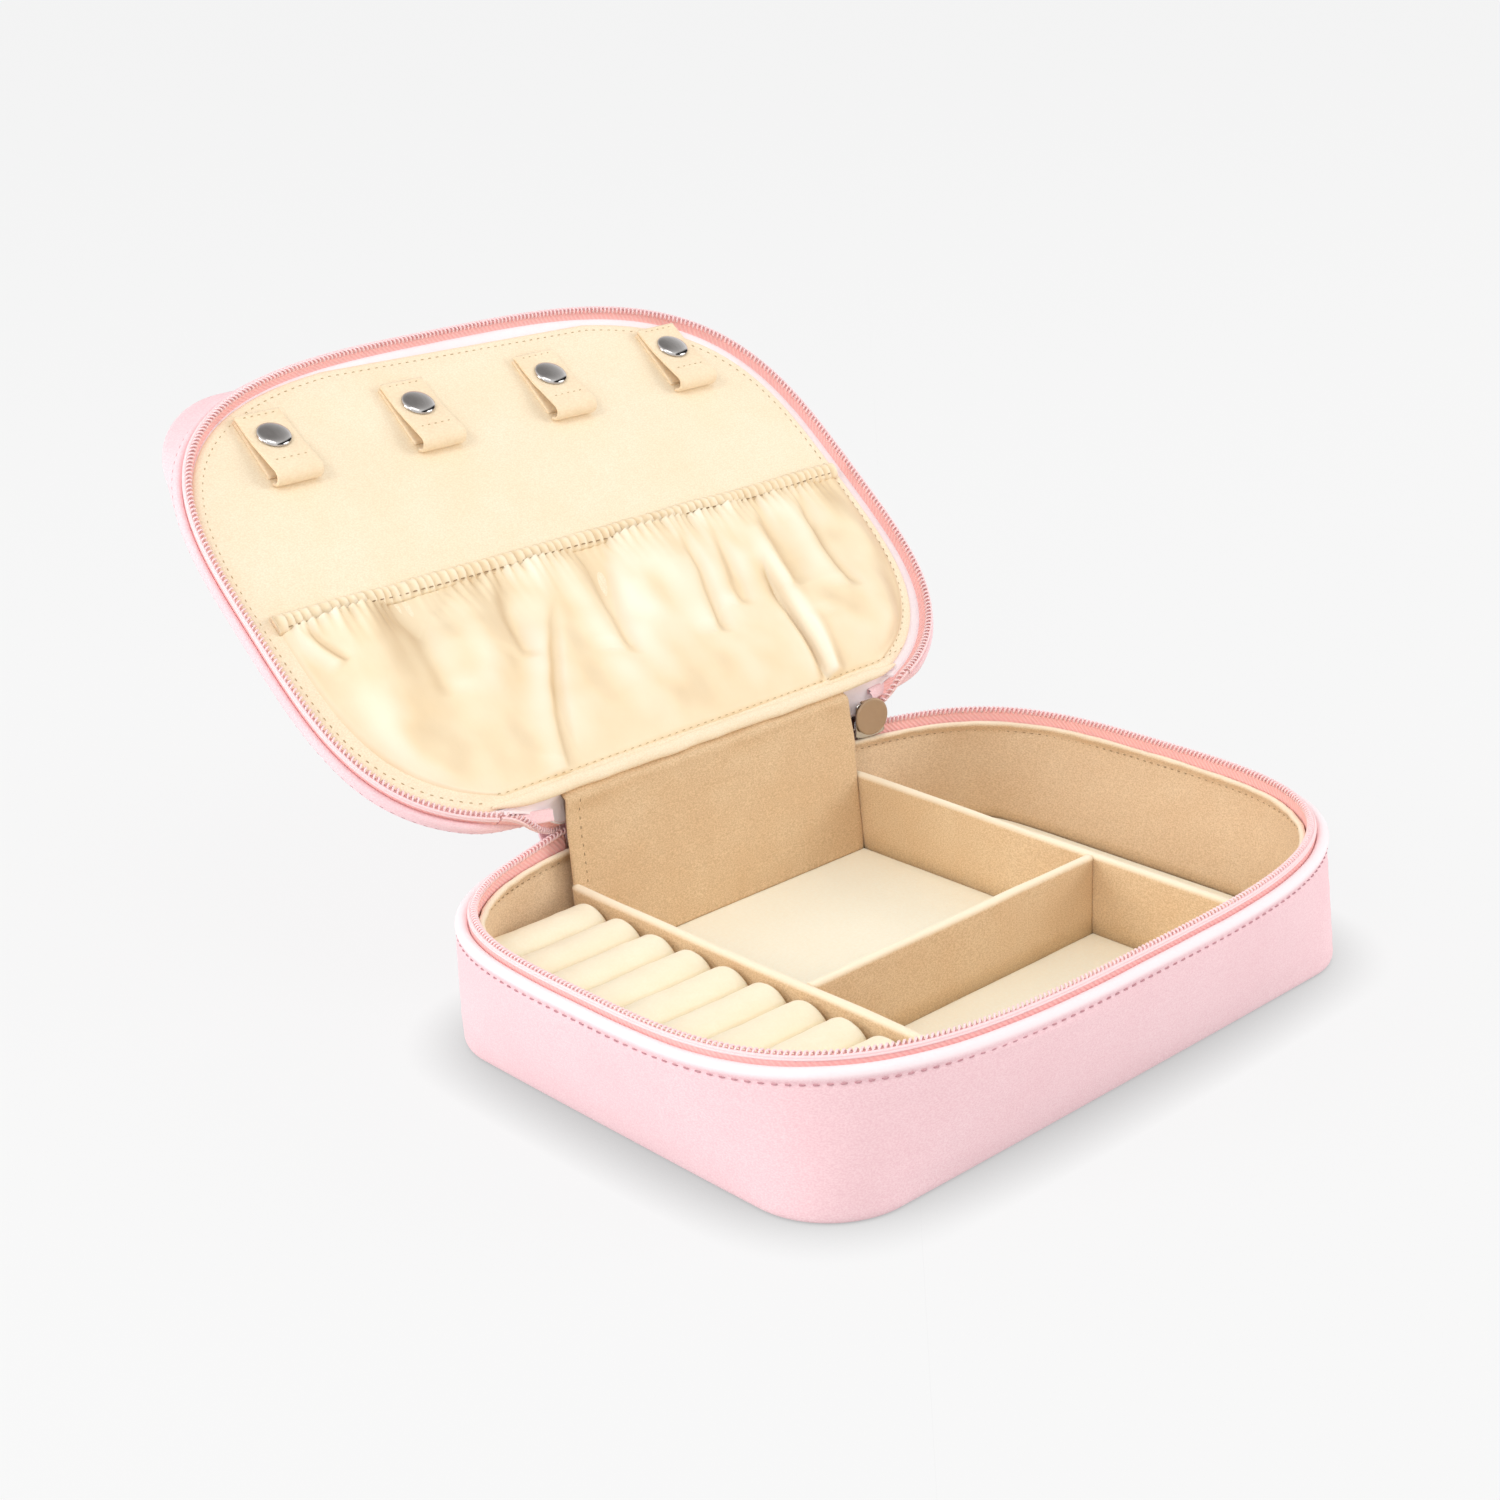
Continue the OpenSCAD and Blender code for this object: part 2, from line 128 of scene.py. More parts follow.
# -------------------------------------------------------------------- meshes
def add(name, v, f, material, body=None, uv=None, smooth=True):
    me = bpy.data.meshes.new(name)
    me.from_pydata((np.asarray(v, float).reshape(-1, 3) / 1000).tolist(), [], [tuple(map(int, x)) for x in f])
    me.validate()
    if uv is not None:
        layer = me.uv_layers.new(name="UVMap")
        idx = np.zeros(len(me.loops), int)
        me.loops.foreach_get("vertex_index", idx)
        layer.data.foreach_set("uv", np.asarray(uv, np.float32)[idx].ravel())
    me.materials.append(material)
    if smooth:
        me.polygons.foreach_set("use_smooth", [True] * len(me.polygons))
    o = bpy.data.objects.new(name, me)
    bpy.context.scene.collection.objects.link(o)
    if body:
        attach(o, body)
    return o


def quads(nu, nv, cu=False, cv=False, start=0):
    i, j = np.meshgrid(np.arange(nu if cu else nu - 1), np.arange(nv if cv else nv - 1), indexing="ij")
    i2, j2 = (i + 1) % nu, (j + 1) % nv
    return (np.stack([i * nv + j, i2 * nv + j, i2 * nv + j2, i * nv + j2], -1).reshape(-1, 4) + start).tolist()


def fix(o, out=True):
    """Face normals outwards on a closed piece."""
    import bmesh
    bm = bmesh.new()
    bm.from_mesh(o.data)
    bmesh.ops.recalc_face_normals(bm, faces=bm.faces)
    bm.to_mesh(o.data)
    bm.free()
    o.data.polygons.foreach_set("use_smooth", [True] * len(o.data.polygons))
    return o


def grid(name, P, material, body=None, cu=False, cv=False, caps=False, uv=True):
    nu, nv = P.shape[:2]
    f = quads(nu, nv, cu, cv)
    if caps and cv:
        f += [list(range(nv))[::-1], [(nu - 1) * nv + j for j in range(nv)]]
    if caps and cu and not cv:
        f += [[i * nv for i in range(nu)], [i * nv + nv - 1 for i in range(nu)][::-1]]
    c = None
    if uv:
        u = np.r_[0, np.cumsum(np.linalg.norm(np.diff(P[:, nv // 2], axis=0), axis=1))]
        w = np.r_[0, np.cumsum(np.linalg.norm(np.diff(P[nu // 2], axis=0), axis=1))]
        c = np.stack(np.broadcast_arrays(u[:, None] / 1000, w[None] / 1000), -1).reshape(-1, 2)
    return add(name, P, f, material, body, c)


def thick(name, P, t, material, body=None, cu=False):
    """A sheet P (nu, nv, 3) given thickness t, with closed edges. t is a vector field or a number along the normal."""
    nu, nv = P.shape[:2]
    if np.isscalar(t):
        du = np.gradient(P, axis=0)
        if cu:
            du = (np.roll(P, -1, 0) - np.roll(P, 1, 0)) / 2
        dv = np.gradient(P, axis=1)
        n = np.cross(du, dv)
        n /= np.maximum(np.linalg.norm(n, axis=-1, keepdims=True), 1e-9)
        Q = P + n * t
    else:
        Q = P + t
    ring = np.concatenate([P, Q[:, ::-1]], 1)
    return fix(grid(name, ring, material, body, cu=cu, cv=True, caps=not cu))


def frames(path, ref):
    """Tangent, side and ref-like directions along a path."""
    t = np.gradient(path, axis=0)
    t /= np.linalg.norm(t, axis=1, keepdims=True)
    r = np.broadcast_to(np.asarray(ref, float), path.shape)
    n = r - (r * t).sum(1, keepdims=True) * t
    n /= np.maximum(np.linalg.norm(n, axis=1, keepdims=True), 1e-9)
    return t, n, np.cross(t, n)


def tube(path, rad, sides, ref, closed=False, flat=1.0):
    t, n, b = frames(path, ref)
    a = np.arange(sides) * 2 * math.pi / sides
    rad = np.broadcast_to(np.asarray(rad, float), (len(path),))
    P = path[:, None] + rad[:, None, None] * (np.cos(a)[None, :, None] * n[:, None] * flat + np.sin(a)[None, :, None] * b[:, None])
    f = quads(len(path), sides, closed, True)
    if not closed:
        f += [list(range(sides))[::-1], [(len(path) - 1) * sides + j for j in range(sides)]]
    return P.reshape(-1, 3), f


class Soup:
    def __init__(self):
        self.v, self.f, self.n = [], [], 0

    def add(self, v, f):
        v = np.asarray(v, float).reshape(-1, 3)
        self.v.append(v)
        self.f += [[i + self.n for i in x] for x in f]
        self.n += len(v)

    def make(self, name, material, body=None):
        return add(name, np.concatenate(self.v), self.f, material, body)


def resample(path, pitch, normals=None, closed=False):
    p = np.vstack([path, path[:1]]) if closed else path
    l = np.r_[0, np.cumsum(np.linalg.norm(np.diff(p, axis=0), axis=1))]
    n = max(int(round(l[-1] / pitch)), 1)
    q = (np.arange(n) + 0.5) * l[-1] / n
    pick = lambda a: np.stack([np.interp(q, l, a[:, k]) for k in range(3)], -1)
    nn = None
    if normals is not None:
        nn = pick(np.vstack([normals, normals[:1]]) if closed else normals)
        nn /= np.linalg.norm(nn, axis=1, keepdims=True)
    c = pick(p)
    t = np.stack([np.interp(np.minimum(q + pitch * 0.2, l[-1]), l, p[:, k]) - np.interp(np.maximum(q - pitch * 0.2, 0), l, p[:, k]) for k in range(3)], -1)
    t /= np.maximum(np.linalg.norm(t, axis=1, keepdims=True), 1e-9)
    return c, t, nn


def dashes(soup, path, normals, pitch, length, w, h, closed=False, seed=3, dip=0.35):
    """Sewn stitches: short rounded threads that dip into the cloth at both ends."""
    c, t, n = resample(np.asarray(path, float), pitch, np.asarray(normals, float), closed)
    b = np.cross(t, n)
    xs = np.array([-0.5, -0.42, -0.2, 0.2, 0.42, 0.5]) * length
    sc = np.array([0.35, 0.8, 1, 1, 0.8, 0.35])
    dz = np.array([-dip, -0.35 * dip, 0, 0, -0.35 * dip, -dip])
    a = np.arange(6) * math.pi / 3
    r = np.random.default_rng(seed)
    lean = (r.random(len(c)) - 0.5) * 0.16
    for k in range(len(c)):
        tt = t[k] + b[k] * lean[k]
        P = (c[k] + xs[:, None, None] * tt + dz[:, None, None] * n[k]
             + sc[:, None, None] * (np.cos(a)[None, :, None] * b[k] * w / 2 + np.sin(a)[None, :, None] * n[k] * h / 2))
        soup.add(P, quads(6, 6, False, True) + [[5, 4, 3, 2, 1, 0], [30, 31, 32, 33, 34, 35]])


# ----------------------------------------------------------------- materials
class Mat:
    def __init__(self, name):
        self.m = bpy.data.materials.new(name)
        self.m.use_nodes = True
        self.t = self.m.node_tree
        self.b = self.t.nodes["Principled BSDF"]
        self.co = self.t.nodes.new("ShaderNodeTexCoord")

    def set(self, **k):
        for a, v in k.items():
            s = self.b.inputs[a.replace("_", " ")]
            s.default_value = v
        return self

    def new(self, kind, **k):
        n = self.t.nodes.new(kind)
        for a, v in k.items():
            if a in n.inputs:
                n.inputs[a].default_value = v
            else:
                setattr(n, a, v)
        return n

    def link(self, a, b):
        self.t.links.new(a, b)

    def noise(self, scale, detail=2.0, rough=0.5, where=None, stretch=None):
        n = self.new("ShaderNodeTexNoise", Scale=scale, Detail=detail, Roughness=rough)
        src = where or self.co.outputs["Object"]
        if stretch:
            m = self.new("ShaderNodeMapping")
            m.inputs["Scale"].default_value = stretch
            self.link(src, m.inputs["Vector"])
            src = m.outputs["Vector"]
        self.link(src, n.inputs["Vector"])
        return n.outputs["Fac"]

    def ramp(self, fac, stops):
        r = self.new("ShaderNodeValToRGB")
        e = r.color_ramp.elements
        while len(e) < len(stops):
            e.new(0.5)
        for k, (p, c) in enumerate(stops):
            e[k].position = p
            e[k].color = (*c, 1)
        self.link(fac, r.inputs["Fac"])
        return r.outputs["Color"]

    def mix(self, fac, a, b, kind="MIX"):
        m = self.new("ShaderNodeMix", data_type="RGBA", blend_type=kind)
        for sock, v in ((m.inputs["Factor"], fac), (m.inputs["A"], a), (m.inputs["B"], b)):
            pass
        fs = [i for i in m.inputs if i.name == "Factor" and i.type == "VALUE"][0]
        As = [i for i in m.inputs if i.name == "A" and i.type == "RGBA"][0]
        Bs = [i for i in m.inputs if i.name == "B" and i.type == "RGBA"][0]
        for sock, v in ((fs, fac), (As, a), (Bs, b)):
            if isinstance(v, bpy.types.NodeSocket):
                self.link(v, sock)
            else:
                sock.default_value = v if sock is fs else (*v, 1)
        return [o for o in m.outputs if o.type == "RGBA"][0]

    def math(self, op, a, b=0.0):
        n = self.new("ShaderNodeMath", operation=op)
        for i, v in enumerate((a, b)):
            if isinstance(v, bpy.types.NodeSocket):
                self.link(v, n.inputs[i])
            else:
                n.inputs[i].default_value = v
        return n.outputs[0]

    def bump(self, h, strength, dist, below=None):
        n = self.new("ShaderNodeBump", Strength=strength, Distance=dist)
        self.link(h, n.inputs["Height"])
        if below is not None:
            self.link(below, n.inputs["Normal"])
        self.link(n.outputs["Normal"], self.b.inputs["Normal"])
        return n.outputs["Normal"]

    def colour(self, s):
        self.link(s, self.b.inputs["Base Color"])


def lin(r, g, b):
    return tuple(((c / 255) / 12.92 if c / 255 <= 0.04045 else ((c / 255 + 0.055) / 1.055) ** 2.4) for c in (r, g, b))


def suede(name, light, dark, speck, grain=1500, mottle=70, contrast=0.5, sheen=0.25, bump=0.35, edge=None):
    """Brushed microfibre: a fine nap with blotches where it has been stroked; a given edge adds a painted highlight, a
    lighter band between two heights on a top edge.
    """
    m = Mat(name)
    big = m.noise(mottle, 4, 0.6)
    nap = m.noise(grain, 3, 0.65, stretch=(1, 1, 1.6))
    fine = m.noise(grain * 3.2, 2, 0.6)
    base = m.mix(m.ramp(big, [(0.3, (0, 0, 0)), (0.7, (1, 1, 1))]), dark, light)
    fleck = m.ramp(nap, [(0.38, (0, 0, 0)), (0.62, (1, 1, 1))])
    base = m.mix(m.math("MULTIPLY", m.math("SUBTRACT", 1.0, fleck), contrast), base, speck)
    # painted highlight: the colour is lightened between two heights, where a top edge faces the light
    if edge:
        geo = m.new("ShaderNodeSeparateXYZ")
        m.link(m.co.outputs["Object"], geo.inputs[0])
        mr = m.new("ShaderNodeMapRange")
        mr.inputs["From Min"].default_value, mr.inputs["From Max"].default_value = edge[0], edge[1]
        m.link(geo.outputs["Z"], mr.inputs["Value"])
        base = m.mix(mr.outputs["Result"], base, edge[2])
    m.colour(base)
    m.set(Roughness=0.92, Sheen_Weight=sheen, Sheen_Roughness=0.45)
    m.b.inputs["Specular IOR Level"].default_value = 0.25
    h = m.math("ADD", m.math("MULTIPLY", nap, 0.65), m.math("MULTIPLY", fine, 0.35))
    below = m.bump(m.noise(mottle * 2.4, 3, 0.5), 0.18, 0.0012)
    m.bump(h, bump, 0.00035, below)
    return m.m


def cloth(name, light, dark, rough=0.6, sheen=0.3, thread=2600, bump=0.2):
    """Thin brushed satin: fine thread lines and soft tone changes, with painted light and shade on folds where the mesh
    stores them.
    """
    m = Mat(name)
    big = m.noise(45, 3, 0.55)
    line = m.noise(thread, 2, 0.6, stretch=(1, 0.18, 0.18))
    base = m.mix(m.ramp(big, [(0.3, (0, 0, 0)), (0.72, (1, 1, 1))]), dark, light)
    base = m.mix(m.math("MULTIPLY", line, 0.16), base, tuple(c * 0.82 for c in dark))
    # painted shade and painted light on the folds, stored on the mesh's points; both layers are nought where a mesh
    # carries none
    low = m.new("ShaderNodeAttribute", attribute_name="painted_fold_shade")
    high = m.new("ShaderNodeAttribute", attribute_name="painted_fold_light")
    base = m.mix(low.outputs["Fac"], base, (0.56, 0.365, 0.185))
    base = m.mix(high.outputs["Fac"], base, (1.0, 0.93, 0.78))
    m.colour(base)
    m.set(Roughness=rough, Sheen_Weight=sheen, Sheen_Roughness=0.35)
    m.b.inputs["Specular IOR Level"].default_value = 0.35
    m.bump(line, bump, 0.00025)
    return m.m


def tape(name, light, dark):
    """Woven zip tape: slanted ribs along the length."""
    m = Mat(name)
    w = m.new("ShaderNodeTexWave", wave_type="BANDS", bands_direction="DIAGONAL", Scale=420, Distortion=0.4, Detail=1.0)
    m.link(m.co.outputs["UV"], w.inputs["Vector"])
    n = m.noise(1800, 2, 0.6)
    f = m.math("ADD", m.math("MULTIPLY", w.outputs["Fac"], 0.7), m.math("MULTIPLY", n, 0.3))
    m.colour(m.mix(f, dark, light))
    m.set(Roughness=0.8, Sheen_Weight=0.2)
    m.b.inputs["Specular IOR Level"].default_value = 0.25
    m.bump(f, 0.5, 0.0003)
    return m.m


def plastic(name, light, dark, rough=0.35, scale=900):
    m = Mat(name)
    n = m.noise(scale, 2, 0.5)
    m.colour(m.mix(n, dark, light))
    m.set(Roughness=rough)
    m.b.inputs["Specular IOR Level"].default_value = 0.45
    m.bump(n, 0.1, 0.0001)
    return m.m


def metal(name, light, dark, rough=0.14, metallic=1.0, scratch=0.05):
    m = Mat(name)
    n = m.noise(700, 4, 0.6, stretch=(1, 0.2, 1))
    r = m.noise(260, 3, 0.6)
    m.colour(m.mix(n, dark, light))
    m.set(Metallic=metallic)
    mr = m.new("ShaderNodeMapRange")
    mr.inputs["To Min"].default_value, mr.inputs["To Max"].default_value = rough * 0.7, rough * 1.4
    m.link(r, mr.inputs["Value"])
    m.link(mr.outputs["Result"], m.b.inputs["Roughness"])
    m.bump(n, scratch, 0.00008)
    return m.m


PINK = suede("suede_pink", (0.955, 0.715, 0.74), (0.94, 0.675, 0.70), (0.82, 0.49, 0.54), grain=1800, mottle=38, contrast=0.45, sheen=0.15)
# the base's pink carries a painted highlight along its rolled hem
PINKB = suede("suede_pink_base", (0.955, 0.690, 0.715), (0.935, 0.645, 0.672), (0.80, 0.46, 0.51), grain=1800, mottle=38, contrast=0.5, sheen=0.15,
              edge=(0.0338, 0.0352, (0.98, 0.83, 0.85)))
# one beige suede in lightnesses set by the light each part gets, dividers here and wall lining next: painted light and
# shade; their edge bands are painted highlights on the top edges
BEIGE = suede("suede_beige", (0.85, 0.655, 0.425), (0.80, 0.58, 0.355), (0.52, 0.33, 0.17), grain=1900, mottle=60, contrast=0.55, sheen=0.15, bump=0.5,
              edge=(0.0255, 0.0266, (0.98, 0.86, 0.66)))
WALLB = suede("suede_beige_wall", (0.88, 0.68, 0.465), (0.825, 0.605, 0.395), (0.54, 0.35, 0.185), grain=1900, mottle=55, contrast=0.55, sheen=0.15, bump=0.5,
              edge=(0.0338, 0.0349, (0.98, 0.85, 0.66)))
PANEL = suede("suede_panel", (0.965, 0.855, 0.66), (0.945, 0.81, 0.595), (0.76, 0.55, 0.33), grain=1900, mottle=55, contrast=0.34, sheen=0.15)
STRAP = suede("suede_strap", (0.95, 0.80, 0.58), (0.92, 0.74, 0.515), (0.76, 0.54, 0.33), grain=1300, mottle=90, contrast=0.3, sheen=0.2)
FLOORC = suede("suede_floor", (0.99, 0.955, 0.80), (0.985, 0.935, 0.765), (0.93, 0.79, 0.56), grain=1100, mottle=40, contrast=0.2, sheen=0.15)
ROLLC = suede("suede_roll", (0.965, 0.89, 0.70), (0.945, 0.83, 0.62), (0.90, 0.77, 0.53), grain=1500, mottle=60, contrast=0.22, sheen=0.2)
POCKET = cloth("pocket_cloth", (0.955, 0.81, 0.575), (0.905, 0.715, 0.46), rough=0.5, sheen=0.3)
TAPE = tape("zip_tape", (0.985, 0.585, 0.555), (0.96, 0.47, 0.45))
COIL = plastic("zip_coil", (0.975, 0.76, 0.77), (0.96, 0.66, 0.68), 0.35)
CORD = plastic("zip_cord", (0.975, 0.76, 0.765), (0.96, 0.65, 0.66), 0.6, 1800)
LIDLIN = suede("lid_lining", (0.985, 0.93, 0.95), (0.975, 0.86, 0.89), (0.96, 0.78, 0.82), grain=1300, mottle=50, contrast=0.15)
THREAD = plastic("thread_beige", (0.42, 0.29, 0.17), (0.30, 0.20, 0.11), 0.7, 3000)
THREADL = plastic("thread_panel", (0.62, 0.47, 0.27), (0.48, 0.34, 0.18), 0.7, 3000)
THREADP = plastic("thread_pink", (0.60, 0.32, 0.35), (0.50, 0.24, 0.27), 0.7, 3000)
STEEL = metal("metal_dark", (0.62, 0.60, 0.585), (0.50, 0.48, 0.47), 0.10)
PULLM = metal("metal_pull", (0.46, 0.325, 0.21), (0.42, 0.29, 0.185), 0.42, 0.25, 0.12)
BOARD = plastic("board", (0.55, 0.53, 0.50), (0.45, 0.43, 0.40), 0.9)
for n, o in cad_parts.items():
    o.data.materials.clear()
    o.data.materials.append(BOARD if "board" in n or n == "ring_roll_card" else STEEL if n in ("snap_studs",) else PANEL)


def nap(o, tone):
    """Store painted light and shade of a cloth's folds on its points; tone runs from -1 (painted shade) to 1 (painted
    light).
    """
    tone = np.clip(np.asarray(tone, float).ravel(), -1, 1)
    for nm, val in (("painted_fold_shade", np.maximum(-tone, 0)), ("painted_fold_light", np.maximum(tone, 0))):
        o.data.attributes.new(nm, "FLOAT", "POINT").data.foreach_set("value", val.astype(np.float32))


def done(o, *nodes, slot=None):
    if nodes:
        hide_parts(*nodes)
    return o


# ---------------------------------------------------------------- base shell
NT = 900
T, PER = even_t(NT)
tt = T[:, None]
turn = (np.arange(NT) / NT)[:, None]
prof = [(62, 0.0), (40, 0.0), (22, 0.0), (8, 0.0), (3.2, 0.0), (1.6, 0.05), (0.9, 0.3), (0.4, 0.75), (0.12, 1.4), (0, 2.2)]
prof += [(0, z) for z in (3.5, 5, 7, 9, 11, 13, 15.5, 18, 20.5, 23, 25.5, 27.5, 29.2, 30.6, 31.6, 32.3, 32.8, 33.2, 33.55)]
prof += [(-0.1, 33.95), (-0.25, 34.5), (-0.3, 35.0), (-0.2, 35.5), (0.05, 35.9), (0.4, 36.2), (0.85, 36.4), (1.35, 36.45), (1.85, 36.35), (2.25, 36.0),
         (2.5, 35.5), (2.6, 35.0), (2.6, 34.2), (2.6, 33.4)]
S = np.array([p[0] for p in prof])[None]
Z = np.array([p[1] for p in prof])[None]
side = np.clip((Z - 2) / 4, 0, 1) * np.clip((34.5 - Z) / 2, 0, 1) * (S < 1)
sw = S - side * (0.30 * np.sin(np.pi * np.clip(Z, 0, 33) / 33))
sw = sw - side * 0.22 * (soft(turn, 11, ((3, 1), (7, .8), (11, .6), (17, .5))) + 0.5 * soft(turn * 1 + Z / 60, 12, ((9, 1), (15, .8), (23, .6))))
nst = int(round(PER / 3.0))
ph = (np.arange(NT) / NT * nst)[:, None]
sw = sw + 0.24 * np.exp(-((Z - 33.0) / 0.5) ** 2) * (S < 0.2) + 0.07 * np.exp(-((Z - 33.0) / 0.8) ** 2) * np.cos(2 * np.pi * ph) * (S < 0.2)
Zw = Z + (Z > 33.8) * 0.12 * soft(turn, 14, ((7, 1), (13, 1), (29, .7)))
base_cover = grid("base_cover", wall(tt, sw, Zw), PINKB, "base", cu=True)
me = base_cover.data
# close the underside
import bmesh
bm = bmesh.new(); bm.from_mesh(me); bm.verts.ensure_lookup_table()
bm.faces.new([bm.verts[i * len(prof)] for i in range(NT)])
bmesh.ops.recalc_face_normals(bm, faces=bm.faces)
bm.to_mesh(me); bm.free()
done(base_cover, "base_shell", slot="suede_pink")

so = Soup()
pth = wall(T, -0.02, 33.0); nrm = wall(T, -1.0, 33.0) - pth
dashes(so, pth, nrm, PER / nst, 1.55, 0.36, 0.4, closed=True)
done(so.make("base_seam", THREADP, "base"), slot="suede_pink")

# ------------------------------------------------------------- base interior
prof = [(5.2, 4.2), (5.35, 8), (5.4, 13), (5.4, 18), (5.4, 23), (5.4, 27), (5.4, 29.5), (5.4, 31), (5.45, 32), (5.55, 32.7), (5.95, 33.3), (6.2, 33.8), (6.25, 34.3),
        (6.0, 34.75), (5.6, 34.95), (5.2, 34.95), (4.85, 34.7), (4.7, 34.2), (4.6, 32), (4.6, 20), (4.6, 4.2)]
S = np.array([p[0] for p in prof])[None]
Z = np.array([p[1] for p in prof])[None]
inner = (S > 5.1) * np.clip((Z - 5) / 5, 0, 1)
wob = soft(turn, 21, ((5, 1), (9, .9), (14, .8), (23, .6))) + 0.6 * soft(turn + Z / 90, 22, ((17, 1), (27, .8), (41, .5)))
sw = S + inner * (0.22 * wob) + (S > 5.1) * 0.25 * np.exp(-((Z - 32.0) / 0.6) ** 2) * -1
pk = 0.16 * soft(turn, 23, ((61, 1), (83, .8), (127, .6))) * np.exp(-((Z - 33.9) / 1.3) ** 2)
lin_p = wall(tt, sw + pk, Z + (Z > 33.5) * 0.1 * soft(turn, 24, ((19, 1), (31, 1))))
lining = fix(grid("base_lining", lin_p, WALLB, "base", cu=True, cv=True))
done(lining, "base_side_lining", slot="suede_beige")
ta, tb = t_at_x(52.5), math.pi - t_at_x(53.5)
tl, _ = even_t(600, t_at_x(-54) - 2 * math.pi, t_at_x(53), closed=False)
so = Soup()
pth = wall(tl, 5.28, 32.0); nrm = wall(tl, 6.5, 32.0) - pth
dashes(so, pth, nrm, 2.4, 0.95, 0.28, 0.3)
done(so.make("base_lining_seam", THREAD, "base"), slot="suede_beige")

# floor: three covered cards with soft edges
xl, xr, yc, dt = -51.0, 52.0, -18.5, 3.0


def low_half(y, s=5.6, z=4.0):
    """x reach of the inside at depth y near the floor."""
    d = np.linspace(-math.pi / 2, math.pi / 2, 2001)
    p = wall(d, s, z)
    return np.interp(y, p[:, 1], p[:, 0])


def low_y(x, back=True, s=5.6, z=4.0):
    d = np.linspace(0, math.pi, 2001) if back else np.linspace(0, -math.pi, 2001)
    p = wall(d, s, z)
    o = np.argsort(p[:, 0])
    return np.interp(x, p[o, 0], p[o, 1])


def pad(name, xs, ylo, yhi, seed):
    nu, nv = 90, 70
    a = np.linspace(0, 1, nu)[:, None]
    b = np.linspace(0, 1, nv)[None]
    ea, eb = 0.5 - 0.5 * np.cos(np.pi * a), 0.5 - 0.5 * np.cos(np.pi * b)
    x = xs[0] + (xs[1] - xs[0]) * ea + 0 * eb
    y0, y1 = ylo(x), yhi(x)
    y = y0 + (y1 - y0) * eb
    d = np.minimum(np.minimum(x - xs[0], xs[1] - x), np.minimum(y - y0, y1 - y))
    z = 4.55 - 0.35 * np.exp(-np.maximum(d, 0) / 0.5) + 0.10 * noise2(x, y, seed, 14)
    P = np.stack([x + 0 * y, y, z], -1)
    return grid(name, P, FLOORC, "base")


p1 = pad("floor_back", (xl - 0.05, xr + 0.05), lambda x: np.full_like(x, yc + dt - 0.1), lambda x: np.minimum(66.75, low_y(x)), 31)
done(p1, "floor_pad", slot="suede_cream")
p2 = pad("floor_front", (xl - 0.05, xr + 0.05), lambda x: low_y(x, False, 5.3), lambda x: np.full_like(x, yc + 0.1), 32)
p3 = pad("floor_right", (xr + dt - 0.1, 96.25), lambda x: low_y(x, False, 5.3), lambda x: low_y(x, True, 5.3), 33)


# dividers: cloth over board, rounded top edge
def divider(name, p0, p1, h0, slot_node, lean0=0.0, lean1=0.0, seed=1):
    """A wall from p0 to p1 (x, y of its middle line); the ends lean out towards the top."""
    n, r = 130, dt / 2
    u = np.linspace(0, 1, n)
    prof = [(-r, 4.2), (-r, 10), (-r, 16), (-r, 21), (-r, h0 - 1.9)]
    prof += [(-r * math.cos(a), h0 - 1.15 + 1.15 * math.sin(a)) for a in np.linspace(0.12, math.pi - 0.12, 11)]
    prof += [(r, h0 - 1.9), (r, 21), (r, 16), (r, 10), (r, 4.2)]
    o = np.array([p[0] for p in prof])[None]
    z = np.array([p[1] for p in prof])[None]
    p0, p1 = np.array(p0, float), np.array(p1, float)
    d = (p1 - p0) / np.linalg.norm(p1 - p0)
    nn = np.array([-d[1], d[0]])
    L = np.linalg.norm(p1 - p0)
    share = (z - 4.2) / (h0 - 4.2)
    a0, a1 = -lean0 * share, L + lean1 * share
    along = a0 + (a1 - a0) * u[:, None]
    dz = 0.18 * soft(u[:, None], seed, ((1, 1), (2.3, .8), (4.1, .6))) * (z > h0 - 2.5)
    off = o * (1 + 0.05 * soft(u[:, None] + z / 80, seed + 1, ((2, 1), (5, .8), (9, .5)))) + 0.25 * share * soft(u[:, None], seed + 2, ((1, 1), (2.2, .6)))
    endr = np.minimum(along - a0, a1 - along)
    off = off * (1 - 0.10 * np.exp(-endr / 1.0))
    P = np.stack([p0[0] + d[0] * along + nn[0] * off, p0[1] + d[1] * along + nn[1] * off, z + dz + 0 * along], -1)
    ob = fix(grid(name, P, BEIGE, "base", cv=True, caps=True))
    return done(ob, slot_node, slot="suede_beige")


divider("divider_left", (xl - dt / 2, -66.9), (xl - dt / 2, 65.7), 26.8, "left_divider", 5.0, 3.4, 41)
divider("divider_right", (xr + dt / 2, -66.9), (xr + dt / 2, 67.0), 26.8, "right_divider", 4.8, 4.0, 44)
divider("divider_cross", (xl + 0.15, yc + dt / 2), (xr - 0.15, yc + dt / 2), 26.8, "cross_divider", 0, 0, 47)


dl = np.linspace(math.radians(100), math.radians(260), 3001)
wl = wall(dl, 5.75, 15.0)
wo = np.argsort(wl[:, 1])
wall_y, wall_x = wl[wo, 1], -wl[wo, 0]


